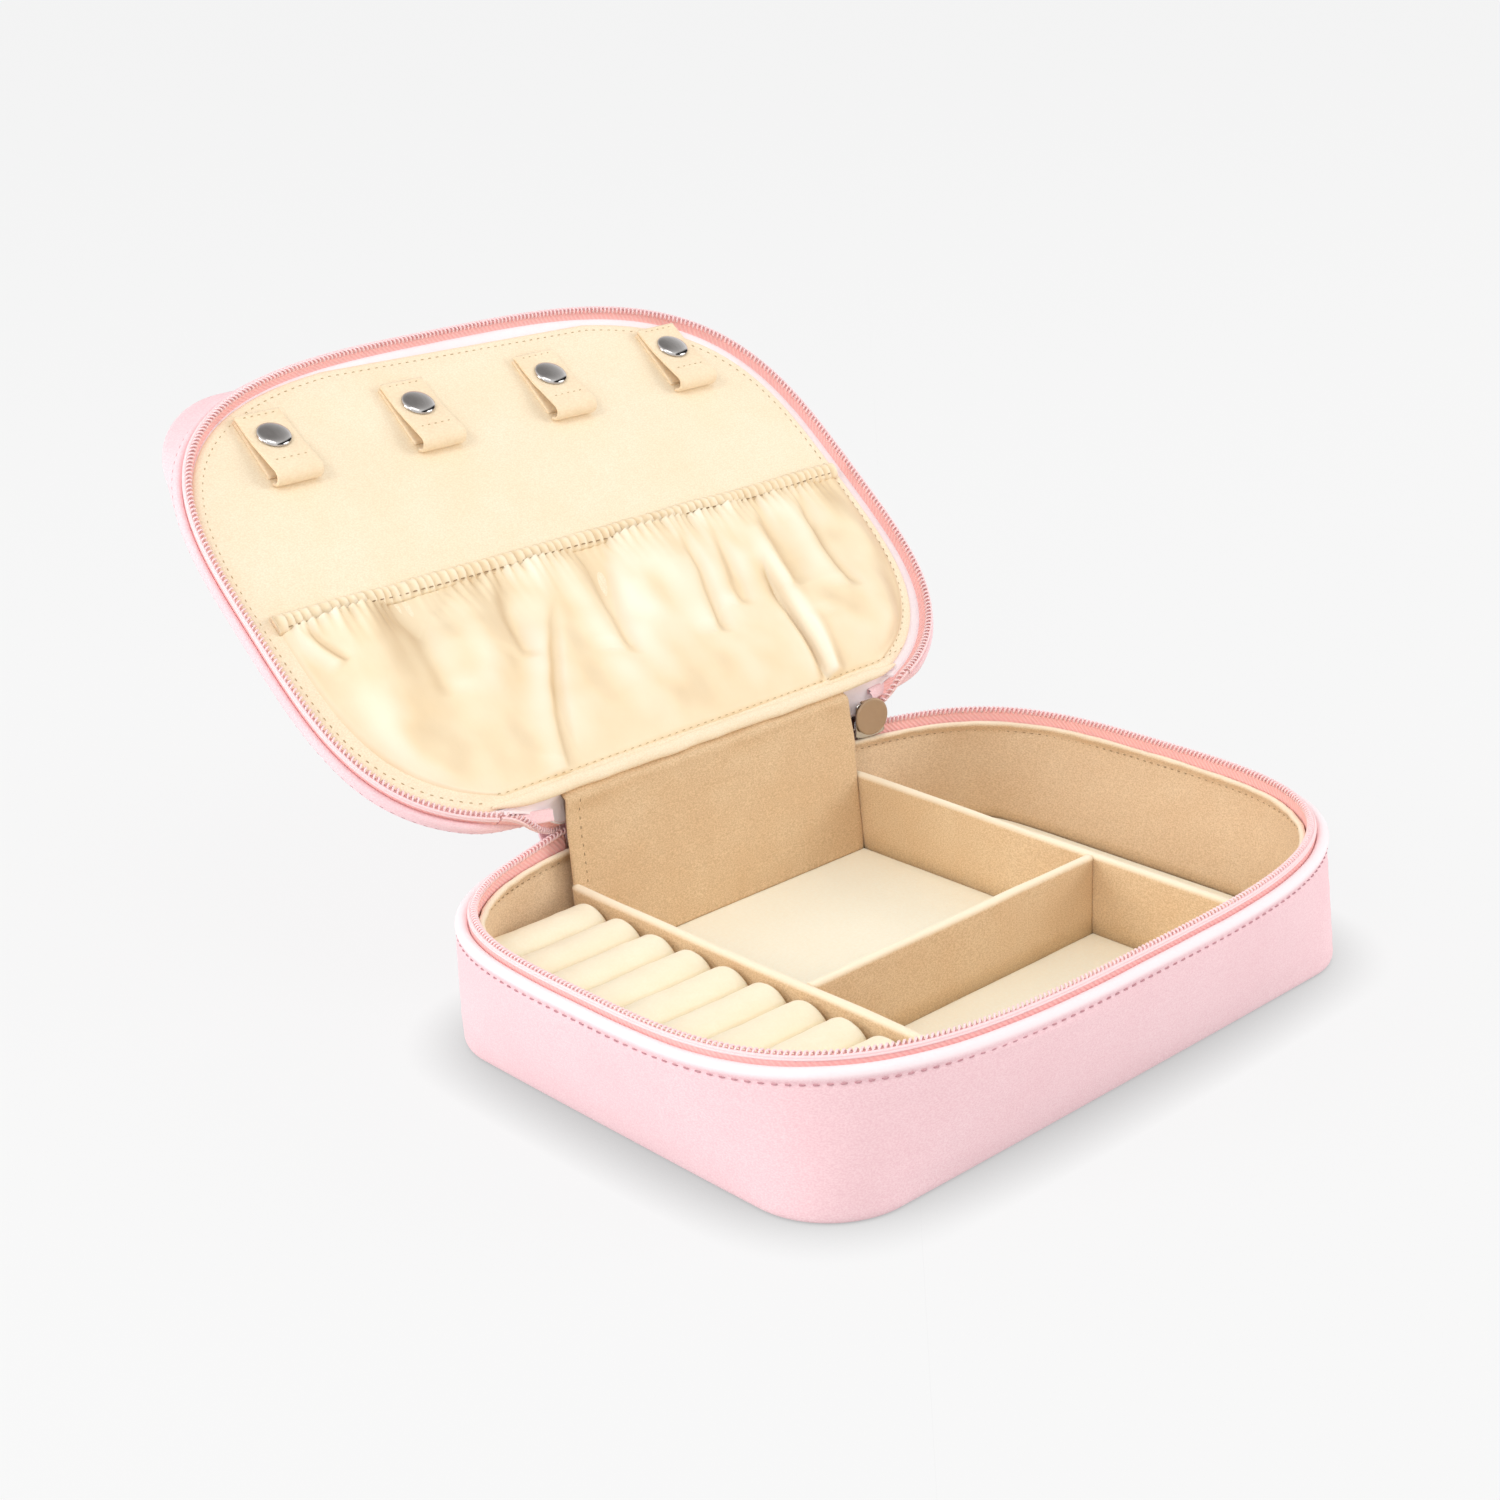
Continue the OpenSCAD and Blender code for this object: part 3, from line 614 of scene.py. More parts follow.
for k in range(10):
    y0 = 58.6 - k * 13.3
    x1 = xl - dt - 1.1
    nu, nv = 64, 40
    u = np.linspace(0, 1, nu)
    q = np.linspace(-1, 1, nv)
    yy = 6.55 * np.sign(q) * np.abs(q) ** 0.9
    sink = 8.0 - np.sqrt(8.0**2 - np.clip(np.abs(yy), 0, 6.55) ** 2)
    lipd = 1.5 * np.clip((np.abs(yy) - 5.7) / 0.85, 0, 1) ** 2.2
    zt = 25.5 - sink - lipd
    e = (1 - (0.5 - 0.5 * np.cos(np.pi * (0.5 + u / 2)))) / 0.5
    grow = np.sin(np.pi * u / 2)
    reach = -np.interp(y0 + yy, wall_y, wall_x)
    xx = reach[None] + (x1 - reach[None]) * grow[:, None]
    end = 1 - (1 - np.clip((x1 - xx) / 2.0, 0, 1)) ** 2.2
    wig = 0.16 * soft(u[:, None] * 1.0, 60 + k, ((1.3, 1), (2.6, .7), (4.4, .5))) + 0.07 * soft(u[:, None] + q[None] * .4, 80 + k, ((3, 1), (7, .6)))
    top = zt[None] + wig - (1 - end) * 2.0
    yy2 = y0 + yy[None] * (1 - 0.10 * (1 - end))
    ring = [np.stack([xx, yy2, top], -1)]
    skirt, back = [], []
    for zz_ in (14.0, 6.0):
        skirt.append(np.stack([xx[:, -1], y0 + 6.5 * np.ones(nu), np.full(nu, zz_)], -1)[:, None])
        back.insert(0, np.stack([xx[:, 0], y0 - 6.5 * np.ones(nu), np.full(nu, zz_)], -1)[:, None])
    P = np.concatenate(ring + skirt + back, 1)
    r = fix(grid(f"ring_roll_{k + 1:02d}", P, ROLLC, "base", cv=True, caps=True))
    r.data.materials[0] = ROLLC
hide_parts("ring_rolls")

# -------------------------------------------------------------- zip chains
PITCH = 1.36
XL_END, XR_END = -50.5, 59.5      # where the base chain meets the lid chain
ta0, ta1 = t_at_x(XL_END) - 2 * math.pi, t_at_x(XR_END)


def rise(x, y):
    """The chains turn up a little where they meet."""
    return np.where(y > 60, 1.5 * np.clip((72 - np.abs(x)) / 20, 0, 1) ** 2, 0)


def section_sweep(name, sect, t, material, body, lift=True, lid=False, extra=None):
    s = np.array([p[0] for p in sect])[None]
    z = np.array([p[1] for p in sect])[None]
    P = wall(t[:, None], s, np.maximum(z, 33.0) + 0 * t[:, None]) if not lid else wall(t[:, None], s, np.full_like(z, 38.0) + 0 * t[:, None])
    P[..., 2] = z
    if lift:
        P[..., 2] += rise(P[..., 0], P[..., 1]) * np.clip((z - 33.5) / 4, 0, 1)
    if lid:
        P = opened(P)
    return fix(grid(name, P, material, body, cv=True, caps=True))


tb_, lb = even_t(900, ta0, ta1, closed=False)
done(section_sweep("base_tape", [(2.5, 33.6), (2.55, 35.0), (2.7, 36.2), (2.9, 37.2), (3.3, 38.0), (4.1, 38.0), (4.2, 36.9), (4.3, 35.8), (4.4, 34.6), (4.5, 33.4)],
                   tb_, TAPE, "base"), "base_zip_tape", slot="zip_tape")
so = Soup()
for s_, z_, r_ in ((2.82, 37.45, 0.36), (2.98, 38.0, 0.38)):
    p = wall(tb_, s_, 37.0); p[:, 2] = z_ + rise(p[:, 0], p[:, 1])
    so.add(*tube(p, r_, 8, (0, 0, 1)))
done(so.make("base_zip_cord", CORD, "base"), slot="zip_coil")


def coil(path_fn, n, m=9, rad=0.31, sides=5):
    j = np.arange(n * m + 1)
    u = j / m / n
    th = 2 * math.pi * j / m
    P, R = path_fn(u, th)
    return tube(P, rad, sides, R)


nb = int(lb / PITCH)
dense, _ = even_t(4000, ta0, ta1, closed=False)


def base_coil(u, th):
    t = np.interp(u, np.linspace(0, 1, len(dense)), dense)
    s = 3.95 + 0.62 * np.sin(th)
    p = wall(t, s, 38.0)
    p[:, 2] = 38.05 + 0.78 * np.cos(th) + rise(p[:, 0], p[:, 1])
    r = np.stack([np.cos(t) * 0 - np.sin(t), np.cos(t), 0 * t], -1)
    return p, r


v, f = coil(base_coil, nb)
done(add("base_zip_coil", v, f, COIL, "base"), "base_zip_teeth", slot="zip_coil")

# the lid's chain, rigid for most of the way
RX = 73.0
la0, la1 = t_at_x(-RX) - 2 * math.pi, t_at_x(RX)
tl_, ll = even_t(860, la0, la1, closed=False)
LT = [(2.3, 39.4), (2.0, 40.2), (2.0, 41.2), (2.2, 42.4), (2.9, 43.5), (5.4, 43.3), (4.6, 42.3), (3.9, 41.4), (3.4, 40.4), (3.1, 39.4)]
done(section_sweep("lid_tape", LT, tl_, TAPE, "lid", lift=False, lid=True), "lid_zip_tape", slot="zip_tape")
so = Soup()
for s_, z_, r_ in ((1.92, 39.95, 0.36), (2.08, 39.4, 0.38)):
    p = wall(tl_, s_, 38.0); p[:, 2] = z_
    so.add(*tube(opened(p), r_, 8, (0, 0, 1)))
done(so.make("lid_zip_cord", CORD, "lid"), slot="zip_coil")
nl = int(ll / PITCH)
dense2, _ = even_t(4000, la0, la1, closed=False)


def lid_coil(u, th):
    t = np.interp(u, np.linspace(0, 1, len(dense2)), dense2)
    s = 3.0 + 0.62 * np.sin(th)
    p = wall(t, s, 38.0)
    p[:, 2] = 39.35 - 0.78 * np.cos(th)
    r = np.stack([-np.sin(t), np.cos(t), 0 * t], -1)
    a = opened(p + r) - opened(p)
    return opened(p), a


v, f = coil(lid_coil, nl)
done(add("lid_zip_coil", v, f, COIL, "lid"), "lid_zip_teeth", slot="zip_coil")


def end_path(sign, n=90):
    """Centre line of the lid chain's end at rest, its share of the turn, and section directions."""
    x_end = XL_END if sign < 0 else XR_END
    t0 = t_at_x(sign * RX)
    a = wall(np.array([t0]), 4.0, 38.0)[0]; a[2] = 39.2
    b = wall(np.array([t0 + (-1 if sign < 0 else 1) * -0.0]), 4.0, 38.0)[0]
    t_in = t0 + (0.02 if sign > 0 else -0.02)
    c = wall(np.array([t_in]), 4.0, 38.0)[0]; c[2] = 39.2
    A, Cc = opened(a), opened(c)
    tan0 = (Cc - A) / np.linalg.norm(Cc - A)
    te = t_at_x(x_end)
    E = wall(np.array([te]), 4.0, 38.0)[0]; E[2] = 40.6
    E2 = wall(np.array([te + (0.02 if sign < 0 else -0.02)]), 4.0, 38.0)[0]; E2[2] = 40.3
    tan1 = (E - E2) / np.linalg.norm(E - E2) * 1.0
    L = np.linalg.norm(E - A)
    u = np.linspace(0, 1, n)[:, None]
    P0, P1, P2, P3 = A, A + tan0 * L * 0.38, E + (E2 - E) / np.linalg.norm(E2 - E) * L * 0.30, E
    path = (1 - u) ** 3 * P0 + 3 * (1 - u) ** 2 * u * P1 + 3 * (1 - u) * u * u * P2 + u**3 * P3
    w = 1 - (3 * u[:, 0] ** 2 - 2 * u[:, 0] ** 3)
    to, te_ = t0, te
    t = t0 + (te - t0) * u[:, 0]
    out = np.stack([np.cos(t), np.sin(t) * 1.6, 0 * t], -1)
    out /= np.linalg.norm(out, axis=1, keepdims=True)
    up = np.tile([0.0, 0, 1], (n, 1))
    ca, sa = np.cos(TH * w), np.sin(TH * w)
    rot = lambda d: np.stack([d[:, 0], d[:, 1] * ca + d[:, 2] * sa, -d[:, 1] * sa + d[:, 2] * ca], -1)
    return path, w, rot(out), rot(up)


for sign, nm in ((-1, "left"), (1, "right")):
    path, w, out, up = end_path(sign)
    sect = np.array(LT) - np.array([4.0, 39.2])
    shrink = (0.55 + 0.45 * w)[:, None, None]
    P = path[:, None] - sect[None, :, :1] * out[:, None] + sect[None, :, 1:] * up[:, None] * shrink
    o = fix(grid(f"lid_tape_end_{nm}", P, TAPE, cv=True, caps=True))
    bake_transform(o)
    done(o, *(["zip_end_stops"] if sign < 0 else []), slot="zip_tape")
    so = Soup()
    for s_, z_, r_ in ((1.92, 39.95, 0.36), (2.08, 39.4, 0.38)):
        p = path - (s_ - 4.0) * out + (z_ - 39.2) * up * shrink[:, 0]
        so.add(*tube(p, r_, 8, up))
    o = so.make(f"lid_cord_end_{nm}", CORD)
    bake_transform(o)
    L = np.linalg.norm(np.diff(path, axis=0), axis=1).sum()
    n = int(L / PITCH)
    j = np.arange(n * 9 + 1)
    u, th = j / 9 / n, 2 * math.pi * j / 9
    ui = np.linspace(0, 1, len(path))
    pick = lambda a: np.stack([np.interp(u, ui, a[:, k]) for k in range(3)], -1)
    pp, oo, uu = pick(path), pick(out), pick(up)
    p = pp - (-1.0 + 0.62 * np.sin(th))[:, None] * oo + (0.15 - 0.78 * np.cos(th))[:, None] * uu
    v, f = tube(p, 0.31, 5, oo)
    o = add(f"lid_coil_end_{nm}", v, f, COIL)
    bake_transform(o)
    # the lid's pink lining between the chain's end and the panel's hem
    hem = np.stack([path[:, 0] * 1.0, np.full(len(path), 68.6), np.full(len(path), 41.9)], -1)
    hem[:, 0] = np.clip(path[:, 0] * 1.02, -74, 74)
    inside = 49.0 if sign < 0 else 50.5
    hem[:, 0] = sign * np.maximum(np.abs(path[:, 0]), inside)
    top = opened(hem)
    low = path - 0.5 * out * 0 + (42.2 - 39.2) * up * shrink[:, 0] - (5.0 - 4.0) * out
    if sign < 0 or sign > 0:
        extra = np.linspace(0, 1, 10)[1:, None]
        xin = sign * inside
        if abs(path[-1, 0]) > inside:
            low = np.vstack([low, low[-1] + extra * (np.array([xin, 76.2, 41.5]) - low[-1])])
            top = np.vstack([top, top[-1] + extra * (np.array([xin, top[-1, 1], top[-1, 2]]) - top[-1])])
    k = np.linspace(0, 1, 14)[None, :, None]
    sag = np.sin(np.pi * k) * np.array([0, 1.0, 0.2])
    P = low[:, None] * (1 - k) + top[:, None] * k + sag
    o = thick(f"lid_lining_end_{nm}", P, 0.35, LIDLIN)
    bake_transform(o)

# --------------------------------------------------------------- lid outside
def face_pt(t, s):
    r = rr_r(t, 200 - 2 * s, 146 - 2 * s, 30 - np.minimum(s, 24))
    return np.stack([r * np.cos(t), r * np.sin(t) - 6], -1)


def mix_pt(t, s, z, f):
    t, s, z, f = np.broadcast_arrays(*(np.asarray(a, float) for a in (t, s, z, f)))
    r = rim_r(t, s)
    a = np.stack([r * np.cos(t), r * np.sin(t)], -1)
    b = face_pt(t, s)
    p = (1 - f[..., None]) * a + f[..., None] * b
    return np.concatenate([p, z[..., None]], -1)


prof = [(2.6, 43.8, 0), (2.5, 42.9, 0), (2.3, 42.1, 0), (2.0, 41.6, 0), (1.6, 41.3, 0), (1.15, 41.25, 0), (0.75, 41.4, 0), (0.45, 41.7, 0), (0.25, 42.1, 0),
        (0.15, 42.6, 0), (0.12, 43.1, 0), (0.15, 43.5, .01), (0.2, 43.85, .03), (0.4, 44.2, .06), (0.12, 44.6, .11), (0.05, 45.0, .18), (0, 45.5, .28),
        (0, 46.1, .43), (0, 46.65, .60), (0, 47.1, .75), (0, 47.45, .87), (0, 47.7, .95), (0.3, 47.88, 1),
        (1.0, 48.0, 1), (2.5, 48.08, 1), (6, 48.2, 1), (14, 48.45, 1), (26, 48.7, 1), (40, 48.85, 1), (55, 48.9, 1)]
S, Z, Fm = (np.array([p[k] for p in prof])[None] for k in range(3))
wob = 0.16 * (soft(turn, 51, ((3, 1), (7, .8), (12, .7), (19, .5))))
P = mix_pt(tt, S - (Z > 44) * (S < 1.5) * wob, Z, Fm)
P[..., 2] += (S > 2) * (Z > 47) * 0.12 * noise2(P[..., 0], P[..., 1], 52, 30)


def tuck(P):
    """Next to the soft hinge the lid's edge is drawn in towards the face."""
    k = np.clip((83 - np.abs(P[..., 0])) / 21, 0, 1)
    k = k * k * (3 - 2 * k) * (P[..., 1] > 40)
    w = np.clip((47.7 - P[..., 2]) / 5.7, 0, 1.15)
    P = P.copy()
    P[..., 1] -= 4.6 * k * w
    P[..., 2] += 2.8 * k * w
    return P


P = tuck(P)
keep_cols = P.copy()
f = quads(NT, len(prof), True, False)
Pm = P.reshape(-1, 3)
cen = Pm[np.array(f)].mean(1)
cut = (cen[:, 0] > -56.0) & (cen[:, 0] < 62.0) & (cen[:, 1] > 66.9)
f = [q for q, c in zip(f, cut) if not c]
f.append([i * len(prof) + len(prof) - 1 for i in range(NT)])
lid_cover = fix(add("lid_cover", opened(Pm), f, PINK, "lid"))
done(lid_cover, "lid_shell", slot="suede_pink")
tls, _ = even_t(700, t_at_x(-62, 0.3) - 2 * math.pi, t_at_x(66, 0.3), s=0.3, closed=False)
so = Soup()
pth = mix_pt(tls, 0.32, 44.2, 0.06); n2 = mix_pt(tls, -0.8, 44.25, 0.06) - pth
pth = tuck(pth)
dashes(so, opened(pth), opened(pth + n2) - opened(pth), 3.0, 1.55, 0.36, 0.4)
done(so.make("lid_seam", THREADP, "lid"), slot="suede_pink")

# outer hinge: one piece of cover that folds in behind the lid
hp = np.array([(79.0, 34.6), (79.9, 35.6), (80.9, 37.2), (81.5, 39.2), (81.6, 41.0), (81.0, 42.7), (79.7, 44.0), (78.0, 45.0), (76.7, 46.0), (76.3, 46.9),
               (76.9, 47.7), (77.9, 48.2), (78.8, 48.75), (79.9, 49.5), (81.2, 50.5)])
lk = np.r_[0, np.cumsum(np.linalg.norm(np.diff(hp, axis=0), axis=1))]
uu = np.linspace(0, lk[-1], 46)
hp = np.stack([np.interp(uu, lk, hp[:, 0]), np.interp(uu, lk, hp[:, 1])], -1)
for _ in range(3):
    hp[1:-1] = (hp[:-2] + 2 * hp[1:-1] + hp[2:]) / 4
xs = np.linspace(-54.3, 54.3, 120)
P = np.zeros((len(xs), len(hp), 3))
P[..., 0] = xs[:, None]
P[..., 1] = hp[None, :, 0] + 0.25 * soft(xs[:, None] / 108 + uu[None] / 60, 55, ((2, 1), (3, .8), (5, .6)))
P[..., 2] = hp[None, :, 1]
hinge = thick("hinge_cover_cloth", P, 0.7, PINK)
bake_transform(hinge)
done(hinge, "hinge_cover", slot="suede_pink")

# inner hinge panel: beige cloth from the floor up to the lid's hem
prof = np.array([(66.5, 4.4), (67.1, 12), (67.7, 20), (68.4, 28), (68.9, 33), (69.4, 37), (70.0, 41), (70.5, 44.5), (70.75, 47.0), (70.65, 48.6), (70.75, 49.5), (71.3, 50.25), (72.2, 50.55), (73.0, 50.9), (73.4, 52.0), (73.7, 53.6)])
lk = np.r_[0, np.cumsum(np.linalg.norm(np.diff(prof, axis=0), axis=1))]
uu = np.linspace(0, lk[-1], 90)
hy, hz = np.interp(uu, lk, prof[:, 0]), np.interp(uu, lk, prof[:, 1])
for _ in range(2):
    hy[1:-1] = (hy[:-2] + 2 * hy[1:-1] + hy[2:]) / 4
nx = 150
a = np.linspace(0, 1, nx)[:, None]
zz = hz[None]
flare_l = 1.4 * np.clip((zz - 36) / 12, 0, 1) ** 1.5
x0 = -53.2 - 0.2 * np.sin(zz / 7.0) + 1.6 * np.clip((zz - 40) / 12, 0, 1)
x1 = 52.0 + 0.25 * np.sin(zz / 5.0) - 0.6 * np.clip((zz - 40) / 12, 0, 1)
X = x0 + (x1 - x0) * a
up = np.clip((zz - 30) / 22, 0, 1)
wr = 0.55 * up * (noise2(X, zz, 57, 9) * 0.6 + noise2(X * 0.4, zz * 1.6, 58, 6) * 0.6)
near = np.exp(-((X - 47) / 9) ** 2)
wr = wr + 0.9 * near * up * np.sin((zz + (X - 47) * 0.35) / 2.1) * 0.55
Y = hy[None] + wr + 0 * X
eg = np.minimum(X - x0, x1 - X)
Y = Y + 0.5 * np.exp(-eg / 0.7)
P = np.stack([X, Y, zz + 0 * X], -1)
panel = thick("hinge_panel_cloth", P, -0.8, WALLB)
panel.data.materials.clear()
# the hinge panel takes a darker copy of the wall suede: painted shade at the back of the tray
HPM = suede("suede_hinge", (0.825, 0.615, 0.39), (0.775, 0.545, 0.325), (0.50, 0.32, 0.165), grain=1900, mottle=60, contrast=0.55, sheen=0.15, bump=0.5)
panel.data.materials.append(HPM)
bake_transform(panel)
done(panel, "hinge_panel", "hinge_panel_top", slot="suede_beige")
so = Soup()
for xo, side_ in ((4.2, 0),):
    xe = (x0 if side_ == 0 else x1)[0] + xo
    iy = np.array([np.interp(xe[k], X[:, k], P[:, k, 1]) for k in range(len(hz))])
    sel = (hz > 6) & (hz < 50)
    pth = np.stack([xe, iy - 0.04, hz], -1)[sel]
    dashes(so, pth, np.tile([0.0, -1, -0.1], (len(pth), 1)), 2.5, 1.0, 0.3, 0.3)
o = so.make("hinge_panel_seam", THREAD)
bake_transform(o)

# ---------------------------------------------------------------- lid inside
EDGE = 8.3


def lid_ring(t, s, ycut=68.0):
    """The lid panel's outline, s - EDGE in from its edge."""
    g = s - EDGE
    c = np.cos(t)
    base = 6.1 + 1.0 * np.clip(c, 0, 1) - 2.0 * np.clip(-c, 0, 1) ** 1.5
    r = rim_r(t, base + g)
    lim = (ycut - g) / np.maximum(np.sin(t), 1e-6)
    r = np.where(np.sin(t) > 0, np.minimum(r, lim), r)
    front = (73.6 - g) / np.maximum(-np.sin(t) + 0.027 * c, 1e-6)
    r = np.where(np.sin(t) < 0, np.minimum(r, front), r)
    return np.stack([r * np.cos(t), r * np.sin(t)], -1)


TP, _ = even_t(720)
rings = [(EDGE + 0.35, 42.9), (EDGE + 0.05, 42.6), (EDGE, 42.1), (EDGE + 0.15, 41.65), (EDGE + 0.55, 41.35), (EDGE + 1.2, 41.22), (EDGE + 1.8, 41.2), (EDGE + 2.4, 41.3),
         (EDGE + 3.2, 41.15), (EDGE + 6, 41.05), (EDGE + 10, 41.0), (EDGE + 16, 40.95), (EDGE + 24, 40.9), (EDGE + 34, 40.9), (EDGE + 46, 40.9), (EDGE + 56, 40.9)]
P = np.zeros((720, len(rings), 3))
for k, (s, z) in enumerate(rings):
    P[:, k, :2] = lid_ring(TP, s)
    P[:, k, 2] = z
P[..., 2] += 0.10 * noise2(P[..., 0], P[..., 1], 61, 16) * (np.arange(len(rings)) > 5)[None]
f = quads(720, len(rings), True, False)
f.append([i * len(rings) + len(rings) - 1 for i in range(720)][::-1])
f.append([i * len(rings) for i in range(720)])
o = fix(add("lid_panel_cloth", opened(P.reshape(-1, 3)), f, PANEL, "lid"))
done(o, "lid_panel", slot="suede_cream")
so = Soup()
tp = TP.copy()
ring_xy = lid_ring(tp, EDGE + 2.4)
keep = ~((ring_xy[:, 1] > 62.0) & (np.abs(ring_xy[:, 0]) < 74))
order = np.argsort((tp - math.pi / 2) % (2 * math.pi))
pts = np.c_[ring_xy, np.full(720, 41.22)][order]
keep = keep[order]
pts = pts[keep]
dashes(so, opened(pts), np.tile(opened(np.array([0, 0, -1.0])) - opened(np.zeros(3)), (len(pts), 1)), 2.6, 1.05, 0.28, 0.3)
done(so.make("lid_panel_seam", THREADL, "lid"), slot="suede_cream")

# strip of lid lining between tape and panel
ts_, _ = even_t(700, la0 - 0.02, la1 + 0.02, closed=False)
LS = [(4.0, 42.2), (4.6, 41.9), (5.4, 42.1), (6.6, 42.5), (8.4, 42.7), (11.0, 42.8), (13.5, 42.8), (13.5, 43.4), (6.0, 43.6), (4.0, 43.2)]
s = np.array([p[0] for p in LS])[None]; z = np.array([p[1] for p in LS])[None]
P = wall(ts_[:, None], s, 38.0 + 0 * z); P[..., 2] = z
done(fix(grid("lid_lining_strip", opened(P), LIDLIN, "lid", cv=True, caps=True)), "lid_side_lining", slot="lid_lining")

# hem roll at the bottom of the lid panel
xs = np.linspace(-73.5, 73.5, 220)
yl = 68.3 - 0.9 * np.clip((np.abs(xs) - 60) / 14, 0, 1) ** 2
hr = 1.5 - 1.2 * np.clip((np.abs(xs) - 56) / 17.5, 0, 1) ** 2
ctr = np.stack([xs, yl + 0.25 * soft(xs / 146, 63, ((3, 1), (7, .8), (11, .6))), 41.35 + 0.25 * soft(xs / 146, 64, ((2, 1), (5, .8), (9, .6)))], -1)
v, f = tube(opened(ctr), hr, 20, opened(np.array([0, 1.0, 0])) - opened(np.zeros(3)), flat=1.25)
hemo = add("lid_hem", v, f, PANEL, "lid")
done(hemo, "lid_hem_roll", slot="suede_cream")

# ------------------------------------------------------------------- pocket
YT, YB = 2.2, 65.6
nu, nv = 460, 150
u = np.linspace(0, 1, nu)[:, None]
v_ = np.linspace(0, 1, nv)[None]


def half_at(y, s=EDGE + 1.2):
    d = np.linspace(-math.pi / 2, math.pi / 2, 3001)
    p = np.stack([rim_r(d, s) * np.cos(d), rim_r(d, s) * np.sin(d)], -1)
    return np.interp(y, p[:, 1], p[:, 0])


Yp = YT + (YB - YT) * v_ + 0 * u
hx = half_at(Yp)
Xp = -hx + 2 * hx * u
seam = 1 - np.exp(-((hx - np.abs(Xp)) / 5.0) ** 2) * 0.92
foot = 1 - np.exp(-((YB - Yp) / 7.0) ** 1.4)
puff = 3.4 * foot * seam * (0.5 + 0.5 * np.sin(np.pi * np.clip(v_ * 0.95 + 0.05, 0, 1)))
g = np.exp(-v_ / 0.09)
h = 0.5 + puff
drift = Xp + 13 * v_
h = h + seam * 0.75 * np.sin(2 * math.pi * Xp / 2.75 + 1.8 * noise2(Xp, 0 * Xp, 71, 7)) * np.exp(-v_ / 0.055)
h = h + seam * np.exp(-v_ / 0.14) * 1.1 * noise2(Xp + 5 * v_, Yp * 0.10, 72, 3.8)
h = h + seam * np.exp(-((v_ - 0.16) / 0.26) ** 2) * 1.7 * noise2(drift, Yp * 0.16, 73, 7.5)
h = h + seam * foot * np.exp(-((v_ - 0.42) / 0.42) ** 2) * 3.6 * noise2(Xp + 20 * v_, Yp * 0.30, 74, 15)
h = h + seam * foot * 2.6 * noise2(Xp + 9 * v_, Yp * 0.8, 76, 21)
h = h + seam * foot * 0.55 * noise2(Xp, Yp, 75, 7)


def crease(p, q, depth, width, ridge=0.0, rw=3.0, side=1.0, bend=0.0):
    """A fold in the cloth from p to q: a groove with a soft ridge on one side."""
    global h
    p, q = np.array(p, float), np.array(q, float)
    d = q - p
    L = np.linalg.norm(d); d /= L
    nrm = np.array([-d[1], d[0]])
    a = (Xp - p[0]) * d[0] + (Yp - p[1]) * d[1]
    b = (Xp - p[0]) * nrm[0] + (Yp - p[1]) * nrm[1] - bend * np.sin(np.pi * np.clip(a / L, 0, 1))
    env = np.clip(a / (L * 0.35) , 0, 1) ** 1.0 * np.clip((L - a) / (L * 0.12) + 0.6, 0, 1)
    env = np.clip(env, 0, 1) * (a > 0) * (a < L * 1.05)
    h = h - depth * env * np.exp(-(b / width) ** 2) + ridge * env * np.exp(-((b * side - rw) / rw) ** 2)


crease((52.8, 22.0), (47.6, 65.3), 4.2, 0.95, 2.6, 3.0, -1, 1.2)
crease((52.5, 12.0), (51.0, 46.0), 1.6, 3.4, 1.2, 6.5, -1, 1.0)
crease((-18.0, 14.0), (-45.5, 65.5), 2.0, 1.6, 1.8, 4.5, 1, 3.0)
crease((-30.0, 2.0), (-38.0, 30.0), 1.3, 2.6, 1.1, 5.0, 1, 2.0)
crease((31.0, 6.0), (25.0, 40.0), 2.0, 2.2, 1.6, 4.5, 1, -1.5)
crease((82.0, 4.0), (75.0, 40.0), 1.7, 2.4, 1.5, 4.5, 1, 2.0)
crease((43.0, 6.0), (38.0, 34.0), 1.6, 2.4, 1.3, 4.5, 1, -1.0)
crease((64.0, 4.0), (57.0, 34.0), 1.6, 2.2, 1.4, 4.0, 1, 1.0)
crease((6.0, 3.0), (-8.0, 38.0), 1.8, 2.6, 1.6, 5.0, 1, 2.0)
crease((66.0, 5.0), (60.0, 34.0), 0.8, 2.0, 0.7, 4.0, 1, 1.0)
crease((-60.0, 5.0), (-68.0, 34.0), 0.7, 2.2, 0.6, 4.5, -1, 1.5)
crease((-93.0, 2.0), (-88.0, 16.0), 1.3, 1.2, 1.2, 2.5, 1, 0.5)
h = np.maximum(h, 0.45 + 0.25 * np.tanh(h))
edge_d = np.minimum(np.minimum(hx - np.abs(Xp), YB - Yp), 1.4) / 1.4
h = h * edge_d ** 0.6 - 0.35 * (1 - edge_d ** 0.6)
P = np.stack([Xp, Yp, 41.15 - h], -1)
pocket = thick("pocket_cloth", opened(P), 0.35, POCKET, "lid")


def blur(a, n):
    for _ in range(n):
        a = np.pad(a, 1, mode="edge")
        a = (a[:-2, 1:-1] + a[2:, 1:-1] + a[1:-1, :-2] + a[1:-1, 2:] + 2 * a[1:-1, 1:-1]) / 6
    return a
